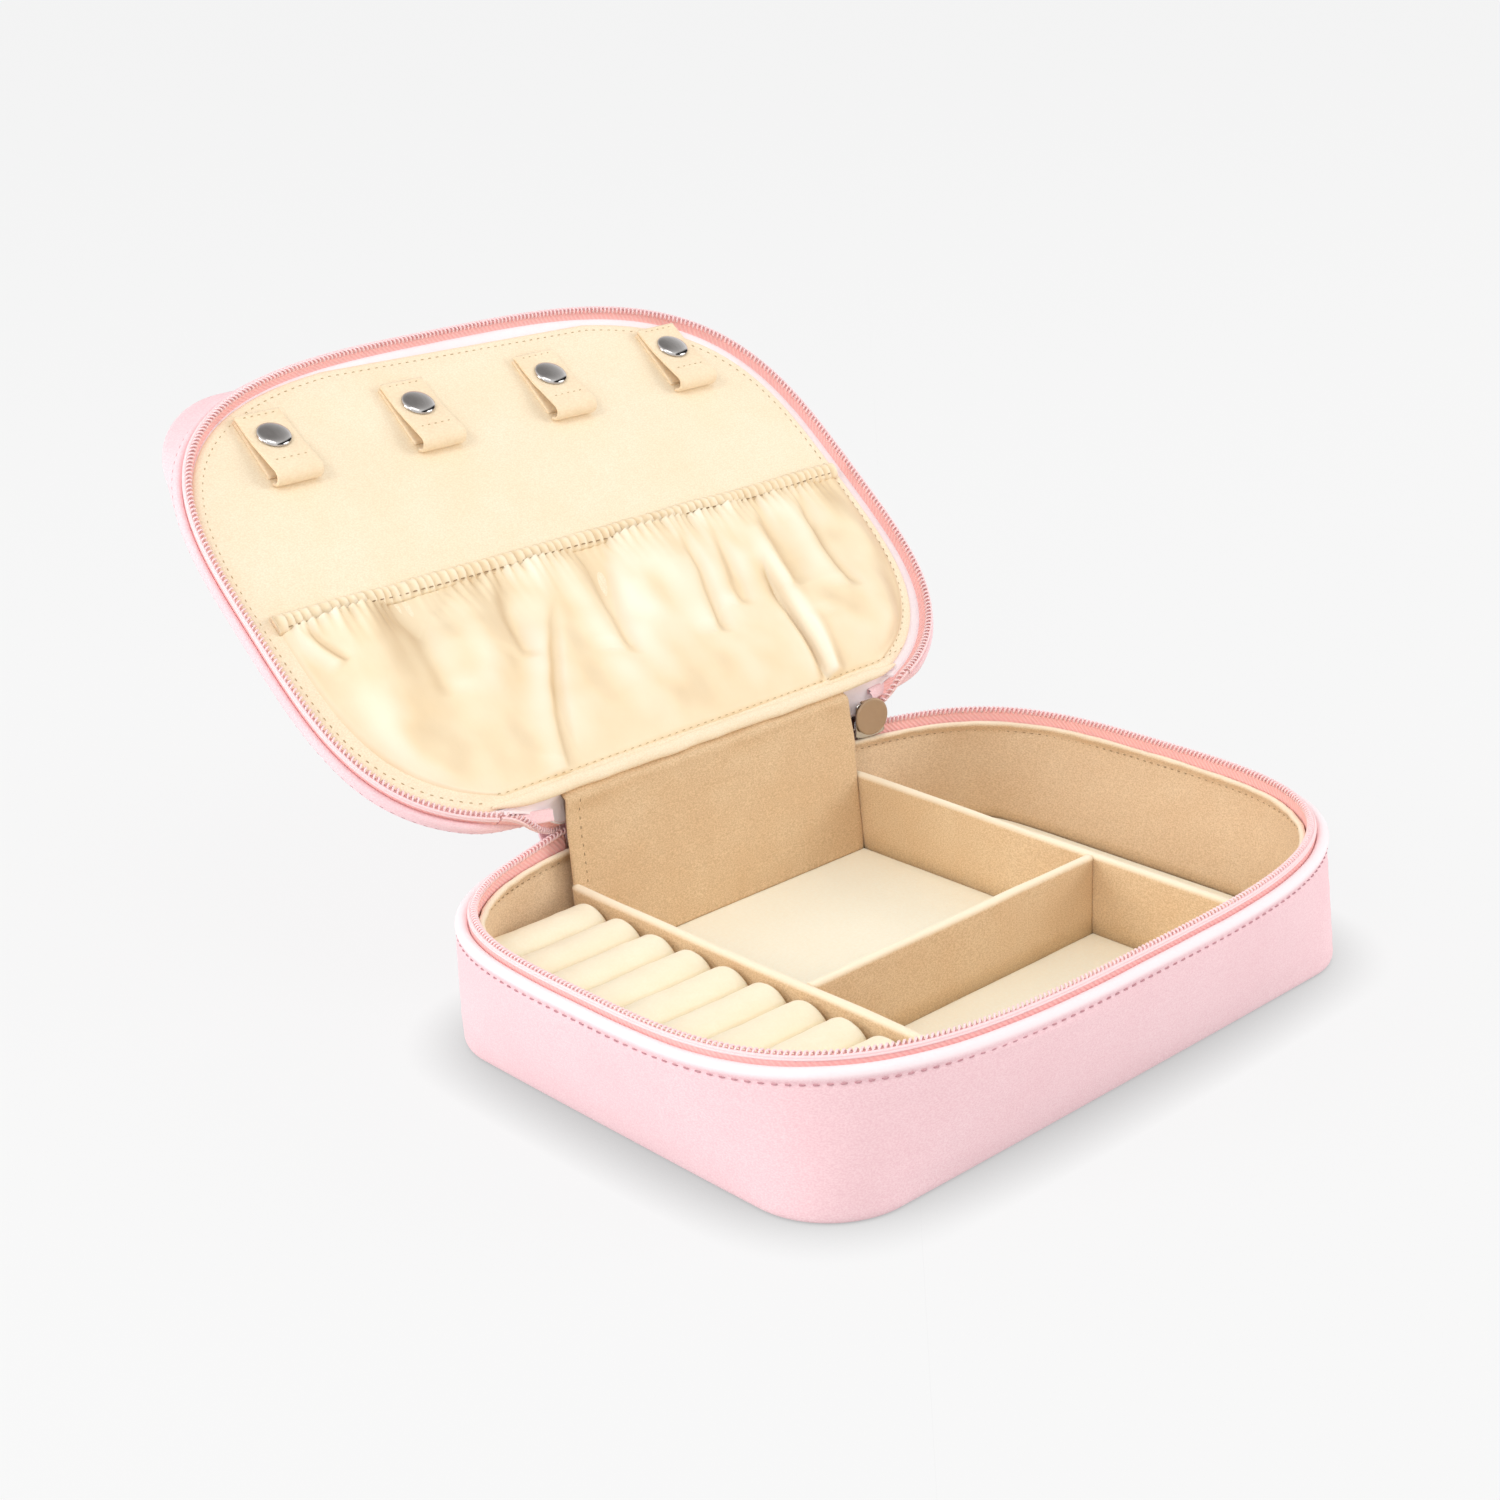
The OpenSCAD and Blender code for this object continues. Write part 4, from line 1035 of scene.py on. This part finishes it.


# painted light and shade on the pocket's folds: slopes lighter or darker as if lit from one side, hollows darker, plus
# broad random light and dark patches; nap() stores it on the cloth
hs = blur(h, 6)
lit_slope = np.gradient(hs, axis=0) / np.gradient(Xp, axis=0) - 0.35 * np.gradient(hs, axis=1) / np.gradient(Yp, axis=1)
hollow_shade = hs - blur(hs, 120)
tone = 0.85 * np.tanh(1.5 * lit_slope) + 0.45 * np.tanh(hollow_shade / 0.8)
wide = noise2(Xp + 14 * v_, Yp * 0.55, 78, 19)
tone = tone + (0.42 * wide + 0.20 * noise2(Xp - 8 * v_, Yp * 0.8, 79, 9)) * foot * seam * (1 - 0.4 * g)
tone = tone * edge_d
tone = np.where(tone < 0, 0.70 * tone, 0.85 * tone)
nap(pocket, np.concatenate([tone, tone[:, ::-1]], 1))
done(pocket, "pocket", slot="suede_cream")

# gathered header with elastic inside
xs = np.linspace(-1, 1, 900)[:, None]
hxh = half_at(0.5, EDGE + 1.0)
X = xs * hxh
prof = np.array([(3.2, 0.3), (2.6, 1.3), (1.9, 1.7), (0.9, 2.2), (-0.3, 2.35), (-1.4, 2.1), (-2.2, 1.4), (-2.5, 0.6), (-2.0, 0.15), (0, 0.1), (2.4, 0.1)])
y, hh = prof[None, :, 0], prof[None, :, 1]
ple = np.sin(2 * math.pi * X / 2.75 + 1.8 * noise2(X, 0 * X, 71, 7)) * 0.75 + 0.35 * noise2(X, y * 0.3, 82, 1.2)
P = np.stack([X + 0.25 * ple * (hh > 1), y + 0.45 * (y < -1.2) * ple - 0.2 * noise2(X, 0 * X, 83, 9), 41.2 - hh * (1 + 0.30 * ple) - 0.25 * (hh > 1) * noise2(X, 0 * X, 84, 20)], -1)
header = fix(grid("pocket_header_cloth", opened(P), POCKET, "lid", cv=True, caps=True))
# painted light and shade on the gathers: pleat crests lighter, the folds between them darker
nap(header, np.clip(0.45 * ple + 0 * hh, -0.45, 0.3) + 0 * y)
done(header, "pocket_header", "pocket_elastic", slot="suede_cream")
so = Soup()
xs2 = np.linspace(-hxh + 2, hxh - 2, 500)
pth = np.stack([xs2, 2.05 + 0.25 * np.sin(xs2 / 9) - 0.2 * noise2(xs2, 0 * xs2, 83, 9), 41.2 - 1.95 - 0.3 * noise2(xs2, 0 * xs2, 84, 20)], -1)
nn = np.tile(opened(np.array([0, 0.3, -1.0])) - opened(np.zeros(3)), (500, 1))
dashes(so, opened(pth), nn, 2.6, 1.3, 0.36, 0.4)
o1 = done(so.make("pocket_header_seam", THREAD, "lid"), slot="suede_cream")
so = Soup()
xs2 = np.linspace(-71, 80, 400)
yy = np.minimum(65.2, 200.0) + 0 * xs2
pth = np.stack([xs2, yy - 1.6 * np.clip((np.abs(xs2) - 66) / 14, 0, 1), np.full(400, 41.15 - 0.75)], -1)
dashes(so, opened(pth), np.tile(opened(np.array([0, 0, -1.0])) - opened(np.zeros(3)), (400, 1)), 2.6, 0.8, 0.26, 0.28)
o2 = done(so.make("pocket_hem_seam", THREADL, "lid"), slot="suede_cream")

# ------------------------------------------------------------------- straps
PZ, FY, TILT, SNAP = 41.2, -42.2, math.radians(11.2), -12.3
FZ, FR, SW = PZ - 2.85, 2.75, 14.4


def settle(y):
    """Past the snap the flap bends back to lie along the panel."""
    k = np.maximum(-np.asarray(y, float) - 10.5, 0)
    return -0.13 * k * k / (k + 2.0)


def slab(P2, x0, x1, name, material, seed, round_=0.0):
    """A band of cloth: outline P2 (closed, y-z) carried across its width with soft edges."""
    xs = np.array([x0, x0 + 0.15, x0 + 0.5, *np.linspace(x0 + 1.2, x1 - 1.2, 18), x1 - 0.5, x1 - 0.15, x1])
    c = P2.mean(0)
    P = np.zeros((len(xs), len(P2), 3))
    for i, x in enumerate(xs):
        e = min(x - x0, x1 - x)
        P[i, :, 0] = x
        P[i, :, 1:] = P2
        if e < 0.5:
            n = np.stack([-(np.roll(P2, -1, 0) - np.roll(P2, 1, 0))[:, 1], (np.roll(P2, -1, 0) - np.roll(P2, 1, 0))[:, 0]], -1)
            n /= np.maximum(np.linalg.norm(n, axis=1, keepdims=True), 1e-9)
            P[i, :, 1:] += n * (0.28 * (1 - e / 0.5) ** 2) * (-1)
    P[..., 2] += 0.08 * noise2(P[..., 0], P[..., 1], seed, 5)
    return P


def offset_band(center, t):
    """Closed outline of a strip of thickness t about an open centre line (y, z)."""
    d = np.gradient(center, axis=0)
    d /= np.linalg.norm(d, axis=1, keepdims=True)
    n = np.stack([-d[:, 1], d[:, 0]], -1)
    return np.vstack([center + n * t / 2, (center - n * t / 2)[::-1]])


def flap_frame(p, k):
    """Flap coordinates (x across, y from the fold, z) to closed lid coordinates."""
    p = np.asarray(p, float)
    c, s = math.cos(-TILT), math.sin(-TILT)
    y, z = p[..., 1], p[..., 2]
    return np.stack([p[..., 0] + STRAP_X[k], FY + y * c - z * s, FZ + y * s + z * c], -1)


STRAP_X = [-69.5 + 47.4 * i for i in range(4)]
for k in range(4):
    body = f"strap_{k + 1}"
    # base layer, sewn to the panel at its top end
    cl = np.stack([np.linspace(FY - 21.6, FY - 1.2, 22), np.full(22, PZ - 0.62)], -1)
    P = slab(offset_band(cl, 1.05), -SW / 2, SW / 2, "", None, 90 + k)
    P[..., 0] += STRAP_X[k]
    o = fix(grid(f"strap_base_{k + 1}", opened(P), STRAP, "lid", cv=True, caps=True))
    if k == 0:
        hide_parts("strap_bases")
    # flap with its rounded fold
    a = np.linspace(math.radians(88), math.radians(-90), 16)
    r = FR - 0.55
    cl = np.vstack([np.stack([np.linspace(-4.5, -0.4, 5), np.full(5, r + 0.02)], -1)[:0], np.stack([r * np.cos(a), r * np.sin(a)], -1),
                    np.stack([np.linspace(-0.7, -21.5, 34), -r + 0.10 * np.sin(np.linspace(0, 3.0, 34)) + settle(np.linspace(-0.7, -21.5, 34))], -1)])
    P = slab(offset_band(cl, 1.05), -SW / 2, SW / 2, "", None, 95 + k)
    o = fix(grid(f"strap_flap_cloth_{k + 1}", opened(flap_frame(P, k)), STRAP, body, cv=True, caps=True))
    done(o, f"strap_flap_{k + 1}", slot="suede_beige")
    so = Soup()
    nrm = opened(flap_frame(np.array([0, 0, -1.0]), k)) - opened(flap_frame(np.zeros(3), k))
    for yy, xa, xb in ((-20.2, -5.6, 5.6), (-3.4, -5.6, 5.6)):
        pth = np.stack([np.linspace(xa, xb, 30), np.full(30, yy), np.full(30, -FR + 0.02 + float(settle(yy)))], -1)
        dashes(so, opened(flap_frame(pth, k)), np.tile(nrm, (30, 1)), 2.4, 0.9, 0.3, 0.35)
    so.make(f"strap_seam_{k + 1}", THREADL, body)
    # snap: domed cap outside, post and ring inside
    rc, hc = 4.9, 1.55
    pr = [(0, -hc)] + [(rc * math.sin(a) * 0.985, -0.42 - (hc - 0.42) * math.cos(a) ** 0.9) for a in np.linspace(0.08, math.pi / 2, 26)]
    pr += [(rc, -0.36), (rc * 0.997, -0.2), (rc * 0.975, -0.08), (rc * 0.93, -0.02), (rc * 0.6, 0.0), (1.25, 0.0), (1.25, 1.0), (2.0, 1.0), (2.1, 1.05), (2.15, 1.35), (2.35, 1.45), (2.75, 1.42),
           (2.9, 1.25), (2.9, 1.08), (2.75, 0.98), (1.9, 0.95), (0, 0.95)]
    pr = np.array(pr)
    an = np.linspace(0, 2 * math.pi, 72, endpoint=False)
    P = np.stack([pr[None, :, 0] * np.cos(an)[:, None], SNAP + pr[None, :, 0] * np.sin(an)[:, None], -FR - 0.05 + pr[None, :, 1] + 0 * an[:, None]], -1)
    v = opened(flap_frame(P, k)).reshape(-1, 3)
    o = add(f"snap_dome_{k + 1}", v, quads(72, len(pr), True, False), STEEL, body)
    bm = bmesh.new(); bm.from_mesh(o.data)
    bmesh.ops.remove_doubles(bm, verts=bm.verts, dist=1e-7)
    bmesh.ops.recalc_face_normals(bm, faces=bm.faces)
    bm.to_mesh(o.data); bm.free()
    o.data.polygons.foreach_set("use_smooth", [True] * len(o.data.polygons))
    done(o, f"snap_cap_{k + 1}", slot="metal_dark")

# ------------------------------------------------------------ slider and pull
AX, AY, AR, AM = 50.37, 11.03, 63.38, math.radians(8.9)


def on_arc(sect, a0, a1, n=40, taper=None):
    a = np.radians(np.linspace(a0, a1, n))
    P = np.zeros((n, len(sect), 3))
    for i, q in enumerate(a):
        k = 1.0 if taper is None else taper(i / (n - 1))
        c = np.mean(sect, 0)
        for j, (r, z) in enumerate(sect):
            r2, z2 = c[0] + (r - c[0]) * (1 if taper is None else 1), c[1] + (z - c[1]) * k
            P[i, j] = (AX + (AR + r2) * math.sin(q), AY + (AR + r2) * math.cos(q), ZZ + z2)
    return P


def rrect2(r0, r1, z0, z1, b, n=4):
    out = []
    for cx, cz, s in ((r1 - b, z1 - b, 0), (r0 + b, z1 - b, 90), (r0 + b, z0 + b, 180), (r1 - b, z0 + b, 270)):
        for k in range(n + 1):
            a = math.radians(s + 90 * k / n)
            out.append((cx + b * math.cos(a), cz + b * math.sin(a)))
    return out


tp_ = lambda u: 1 - 0.28 * (2 * abs(u - 0.5)) ** 3
so = Soup()
for sect in (rrect2(1.6, 2.5, -3.2, 3.2, 0.3), rrect2(-2.5, -1.75, -3.2, 3.2, 0.3)):
    P = on_arc(sect, 4.2, 13.6, 44, tp_)
    so.add(P, quads(44, len(sect), False, True) + [list(range(len(sect)))[::-1], [43 * len(sect) + j for j in range(len(sect))]])
for z0, z1 in ((2.35, 3.15), (-3.15, -2.35)):
    for r0, r1 in ((1.0, 1.75), (-1.9, -1.1)):
        sect = rrect2(r0, r1, z0, z1, 0.15, 2)
        P = on_arc(sect, 5.2, 12.6, 24)
        so.add(P, quads(24, len(sect), False, True) + [list(range(len(sect)))[::-1], [23 * len(sect) + j for j in range(len(sect))]])
sect = rrect2(-1.85, 1.7, -0.2, 0.2, 0.08, 2)
P = on_arc(sect, 11.8, 13.4, 8)
so.add(P, quads(8, len(sect), False, True) + [list(range(len(sect)))[::-1], [7 * len(sect) + j for j in range(len(sect))]])
o = fix(so.make("slider_body", STEEL, "slider"))
done(o, "zip_slider", slot="metal_dark")


def at_slider(p):
    p = np.asarray(p, float)
    c, s = math.cos(-AM), math.sin(-AM)
    return np.stack([AX + p[..., 0] * c - p[..., 1] * s, AY + p[..., 0] * s + p[..., 1] * c, p[..., 2]], -1)


PY, PZ2 = AR - 1.3, ZZ + 6.6
so = Soup()
arc = [(-3.6, PY, ZZ + 3.1), (-3.6, PY, ZZ + 5), (-3.55, PY, PZ2 - 0.3), (-3.1, PY, PZ2), (0, PY, PZ2), (3.1, PY, PZ2), (3.55, PY, PZ2 - 0.3), (3.6, PY, ZZ + 5), (3.6, PY, ZZ + 3.1)]
arc = np.array(arc)
lk = np.r_[0, np.cumsum(np.linalg.norm(np.diff(arc, axis=0), axis=1))]
uu = np.linspace(0, lk[-1], 60)
arc = np.stack([np.interp(uu, lk, arc[:, k]) for k in range(3)], -1)
for _ in range(2):
    arc[1:-1] = (arc[:-2] + 2 * arc[1:-1] + arc[2:]) / 4
so.add(*tube(at_slider(arc), 0.55, 14, at_slider(np.array([0, 1.0, 0])) - at_slider(np.zeros(3))))
done(fix(so.make("slider_bridge", STEEL, "slider")), "slider_bail", slot="metal_dark")

# round pull: a flat coin with rolled rim, hung by its eye
R_ = 5.5
pr = [(0, 0.02), (R_ - 1.3, 0.02), (R_ - 1.0, 0.0), (R_ - 0.45, 0.0), (R_ - 0.15, 0.06), (R_, 0.25), (R_, 0.7), (R_ - 0.15, 0.89), (R_ - 0.45, 0.95), (R_ - 1.0, 0.95), (R_ - 1.3, 0.93), (0, 0.93)]
an = np.linspace(0, 2 * math.pi, 96, endpoint=False)
pr = np.array(pr)
P = np.stack([pr[None, :, 0] * np.cos(an)[:, None], PY - 2.6 + pr[None, :, 1] + 0 * an[:, None], PZ2 - 3.3 + pr[None, :, 0] * np.sin(an)[:, None]], -1)
so = Soup()
so.add(at_slider(P), quads(96, len(pr), True, False))
# the eye round the pin
a = np.linspace(0, 2 * math.pi, 40, endpoint=False)
tor = np.stack([0 * a, PY + 0.84 * np.cos(a), PZ2 + 0.84 * np.sin(a)], -1)
for xo in np.linspace(-1.7, 1.7, 9):
    q = tor.copy(); q[:, 0] = xo
    so.add(*tube(at_slider(q), 0.24, 8, at_slider(np.array([1.0, 0, 0])) - at_slider(np.zeros(3)), closed=True))
neck = np.array([(x, PY - 1.35, PZ2 + 0.6 - 2.2 * t_) for t_ in (0, 1) for x in (-1.9, 1.9)])
sect = rrect2(-0.35, 0.35, -1.9, 1.9, 0.15, 2)
P = np.array([[(x_, PY - 1.3 - 0.25 * (1 - w_), PZ2 + 0.4 - 2.6 * (1 - w_)) for r_, x_ in sect] for w_ in (0, 0.5, 1)])
for i in range(3):
    for j, (r_, x_) in enumerate(sect):
        P[i, j, 1] += r_
so.add(at_slider(P), quads(3, len(sect), False, True) + [list(range(len(sect)))[::-1], [2 * len(sect) + j for j in range(len(sect))]])
o = so.make("pull_coin", PULLM, "pull")
bm = bmesh.new(); bm.from_mesh(o.data)
bmesh.ops.remove_doubles(bm, verts=bm.verts, dist=1e-7)
bmesh.ops.recalc_face_normals(bm, faces=bm.faces)
bm.to_mesh(o.data); bm.free()
done(o, "zip_pull", slot="metal_pull")

# --------------------------------------------------------------- scene set-up
floor_me = bpy.data.meshes.new("floor")
floor_me.from_pydata([(-30, -30, 0), (30, -30, 0), (30, 30, 0), (-30, 30, 0)], [], [(0, 1, 2, 3)])
floor = bpy.data.objects.new("floor", floor_me)
bpy.context.scene.collection.objects.link(floor)
fm = Mat("floor_pale")
fm.set(Roughness=1.0)
fm.b.inputs["Specular IOR Level"].default_value = 0.0
# the floor glows evenly; ambient occlusion dims its glow beside the case: a painted contact shadow
ao = fm.new("ShaderNodeAmbientOcclusion", samples=8)
ao.inputs["Distance"].default_value = 0.016
lift = fm.math("ADD", fm.math("MULTIPLY", fm.math("POWER", ao.outputs["AO"], 1.2), 0.41), 0.425)
fm.link(lift, fm.b.inputs["Emission Strength"])
fm.b.inputs["Emission Color"].default_value = (1, 1, 1, 1)
fm.colour(fm.mix(fm.noise(2.0, 1, 0.5), (0.088, 0.088, 0.088), (0.090, 0.090, 0.090)))
floor_me.materials.append(fm.m)

sc = bpy.context.scene
sc.view_settings.view_transform = "Standard"
world = bpy.data.worlds.new("studio")
sc.world = world
world.use_nodes = True
nt = world.node_tree
bg = nt.nodes["Background"]
bg.inputs["Color"].default_value = (1, 1, 1, 1)
bg.inputs["Strength"].default_value = 0.73
out = nt.nodes["World Output"]
bg2 = nt.nodes.new("ShaderNodeBackground")
lp = nt.nodes.new("ShaderNodeLightPath")
tc = nt.nodes.new("ShaderNodeTexCoord")


def along(axis, stops):
    dot = nt.nodes.new("ShaderNodeVectorMath")
    dot.operation = "DOT_PRODUCT"
    dot.inputs[1].default_value = axis
    nt.links.new(tc.outputs["Generated"], dot.inputs[0])
    rp = nt.nodes.new("ShaderNodeValToRGB")
    e = rp.color_ramp.elements
    e[0].position, e[0].color = stops[0][0], (*[stops[0][1]] * 3, 1)
    e[1].position, e[1].color = stops[-1][0], (*[stops[-1][1]] * 3, 1)
    for pos, c in stops[1:-1]:
        q = e.new(pos)
        q.color = (c, c, c, 1)
    nt.links.new(dot.outputs["Value"], rp.inputs["Fac"])
    return rp.outputs["Color"]


side_c = along((0.74, -0.67, 0.0), [(0.0, 0.95), (0.58, 1.0), (0.67, 0.02), (0.88, 0.02), (0.97, 0.35)])
high_c = along((0.26, 0.24, 0.93), [(0.0, 0.0), (0.70, 0.0), (0.97, 1.0), (1.0, 1.0)])
mc = nt.nodes.new("ShaderNodeMix")
mc.data_type = "RGBA"
nt.links.new(high_c, [i for i in mc.inputs if i.name == "Factor" and i.type == "VALUE"][0])
nt.links.new(side_c, [i for i in mc.inputs if i.name == "A" and i.type == "RGBA"][0])
[i for i in mc.inputs if i.name == "B" and i.type == "RGBA"][0].default_value = (0.30, 0.29, 0.285, 1)
nt.links.new([o for o in mc.outputs if o.type == "RGBA"][0], bg2.inputs["Color"])
bg2.inputs["Strength"].default_value = 1.1
mx = nt.nodes.new("ShaderNodeMixShader")
nt.links.new(lp.outputs["Is Glossy Ray"], mx.inputs[0])
nt.links.new(bg.outputs[0], mx.inputs[1])
nt.links.new(bg2.outputs[0], mx.inputs[2])
nt.links.new(mx.outputs[0], out.inputs[0])


def area(name, loc, target, size, power, colour=(1, 1, 1)):
    l = bpy.data.lights.new(name, "AREA")
    l.shape, l.size, l.energy, l.color = "DISK", size, power, colour
    o = bpy.data.objects.new(name, l)
    o.location = loc
    o.rotation_mode = "QUATERNION"
    o.rotation_quaternion = (Vector(target) - Vector(loc)).to_track_quat("-Z", "Y")
    sc.collection.objects.link(o)
    return o


area("key", (-1.25, -0.35, 1.05), (0, 0, 0.05), 0.55, 5.4, (1.0, 0.99, 0.975))
area("top", (-0.1, -0.5, 1.6), (0, 0, 0.02), 0.8, 2.8, (1.0, 0.99, 0.975))
area("front", (1.25, -1.0, 0.60), (0, 0, 0.03), 1.0, 9.5, (1.0, 0.995, 0.985))
area("left_back", (-1.2, 0.55, 0.45), (0, 0.05, 0.05), 0.6, 6.0, (1.0, 1.0, 1.0))

cam_data = bpy.data.cameras.new("camera")
cam = bpy.data.objects.new("camera", cam_data)
sc.collection.objects.link(cam)
cam_data.lens, cam_data.sensor_width, cam_data.sensor_fit = 58.95, 36.0, "HORIZONTAL"
cam_data.clip_start, cam_data.clip_end = 0.01, 200
yaw, pitch, roll = (math.radians(a) for a in (42.25, -21.02, -2.20))
fwd = Vector((math.sin(yaw) * math.cos(pitch), math.cos(yaw) * math.cos(pitch), math.sin(pitch)))
r0 = Vector((math.cos(yaw), -math.sin(yaw), 0))
u0 = r0.cross(fwd)
right = r0 * math.cos(roll) + u0 * math.sin(roll)
upv = -r0 * math.sin(roll) + u0 * math.cos(roll)
m = Matrix.Identity(4)
for i in range(3):
    m[i][0], m[i][1], m[i][2] = right[i], upv[i], -fwd[i]
m.translation = Vector((-0.41191, -0.39632, 0.28761))
cam.matrix_world = m
sc.camera = cam
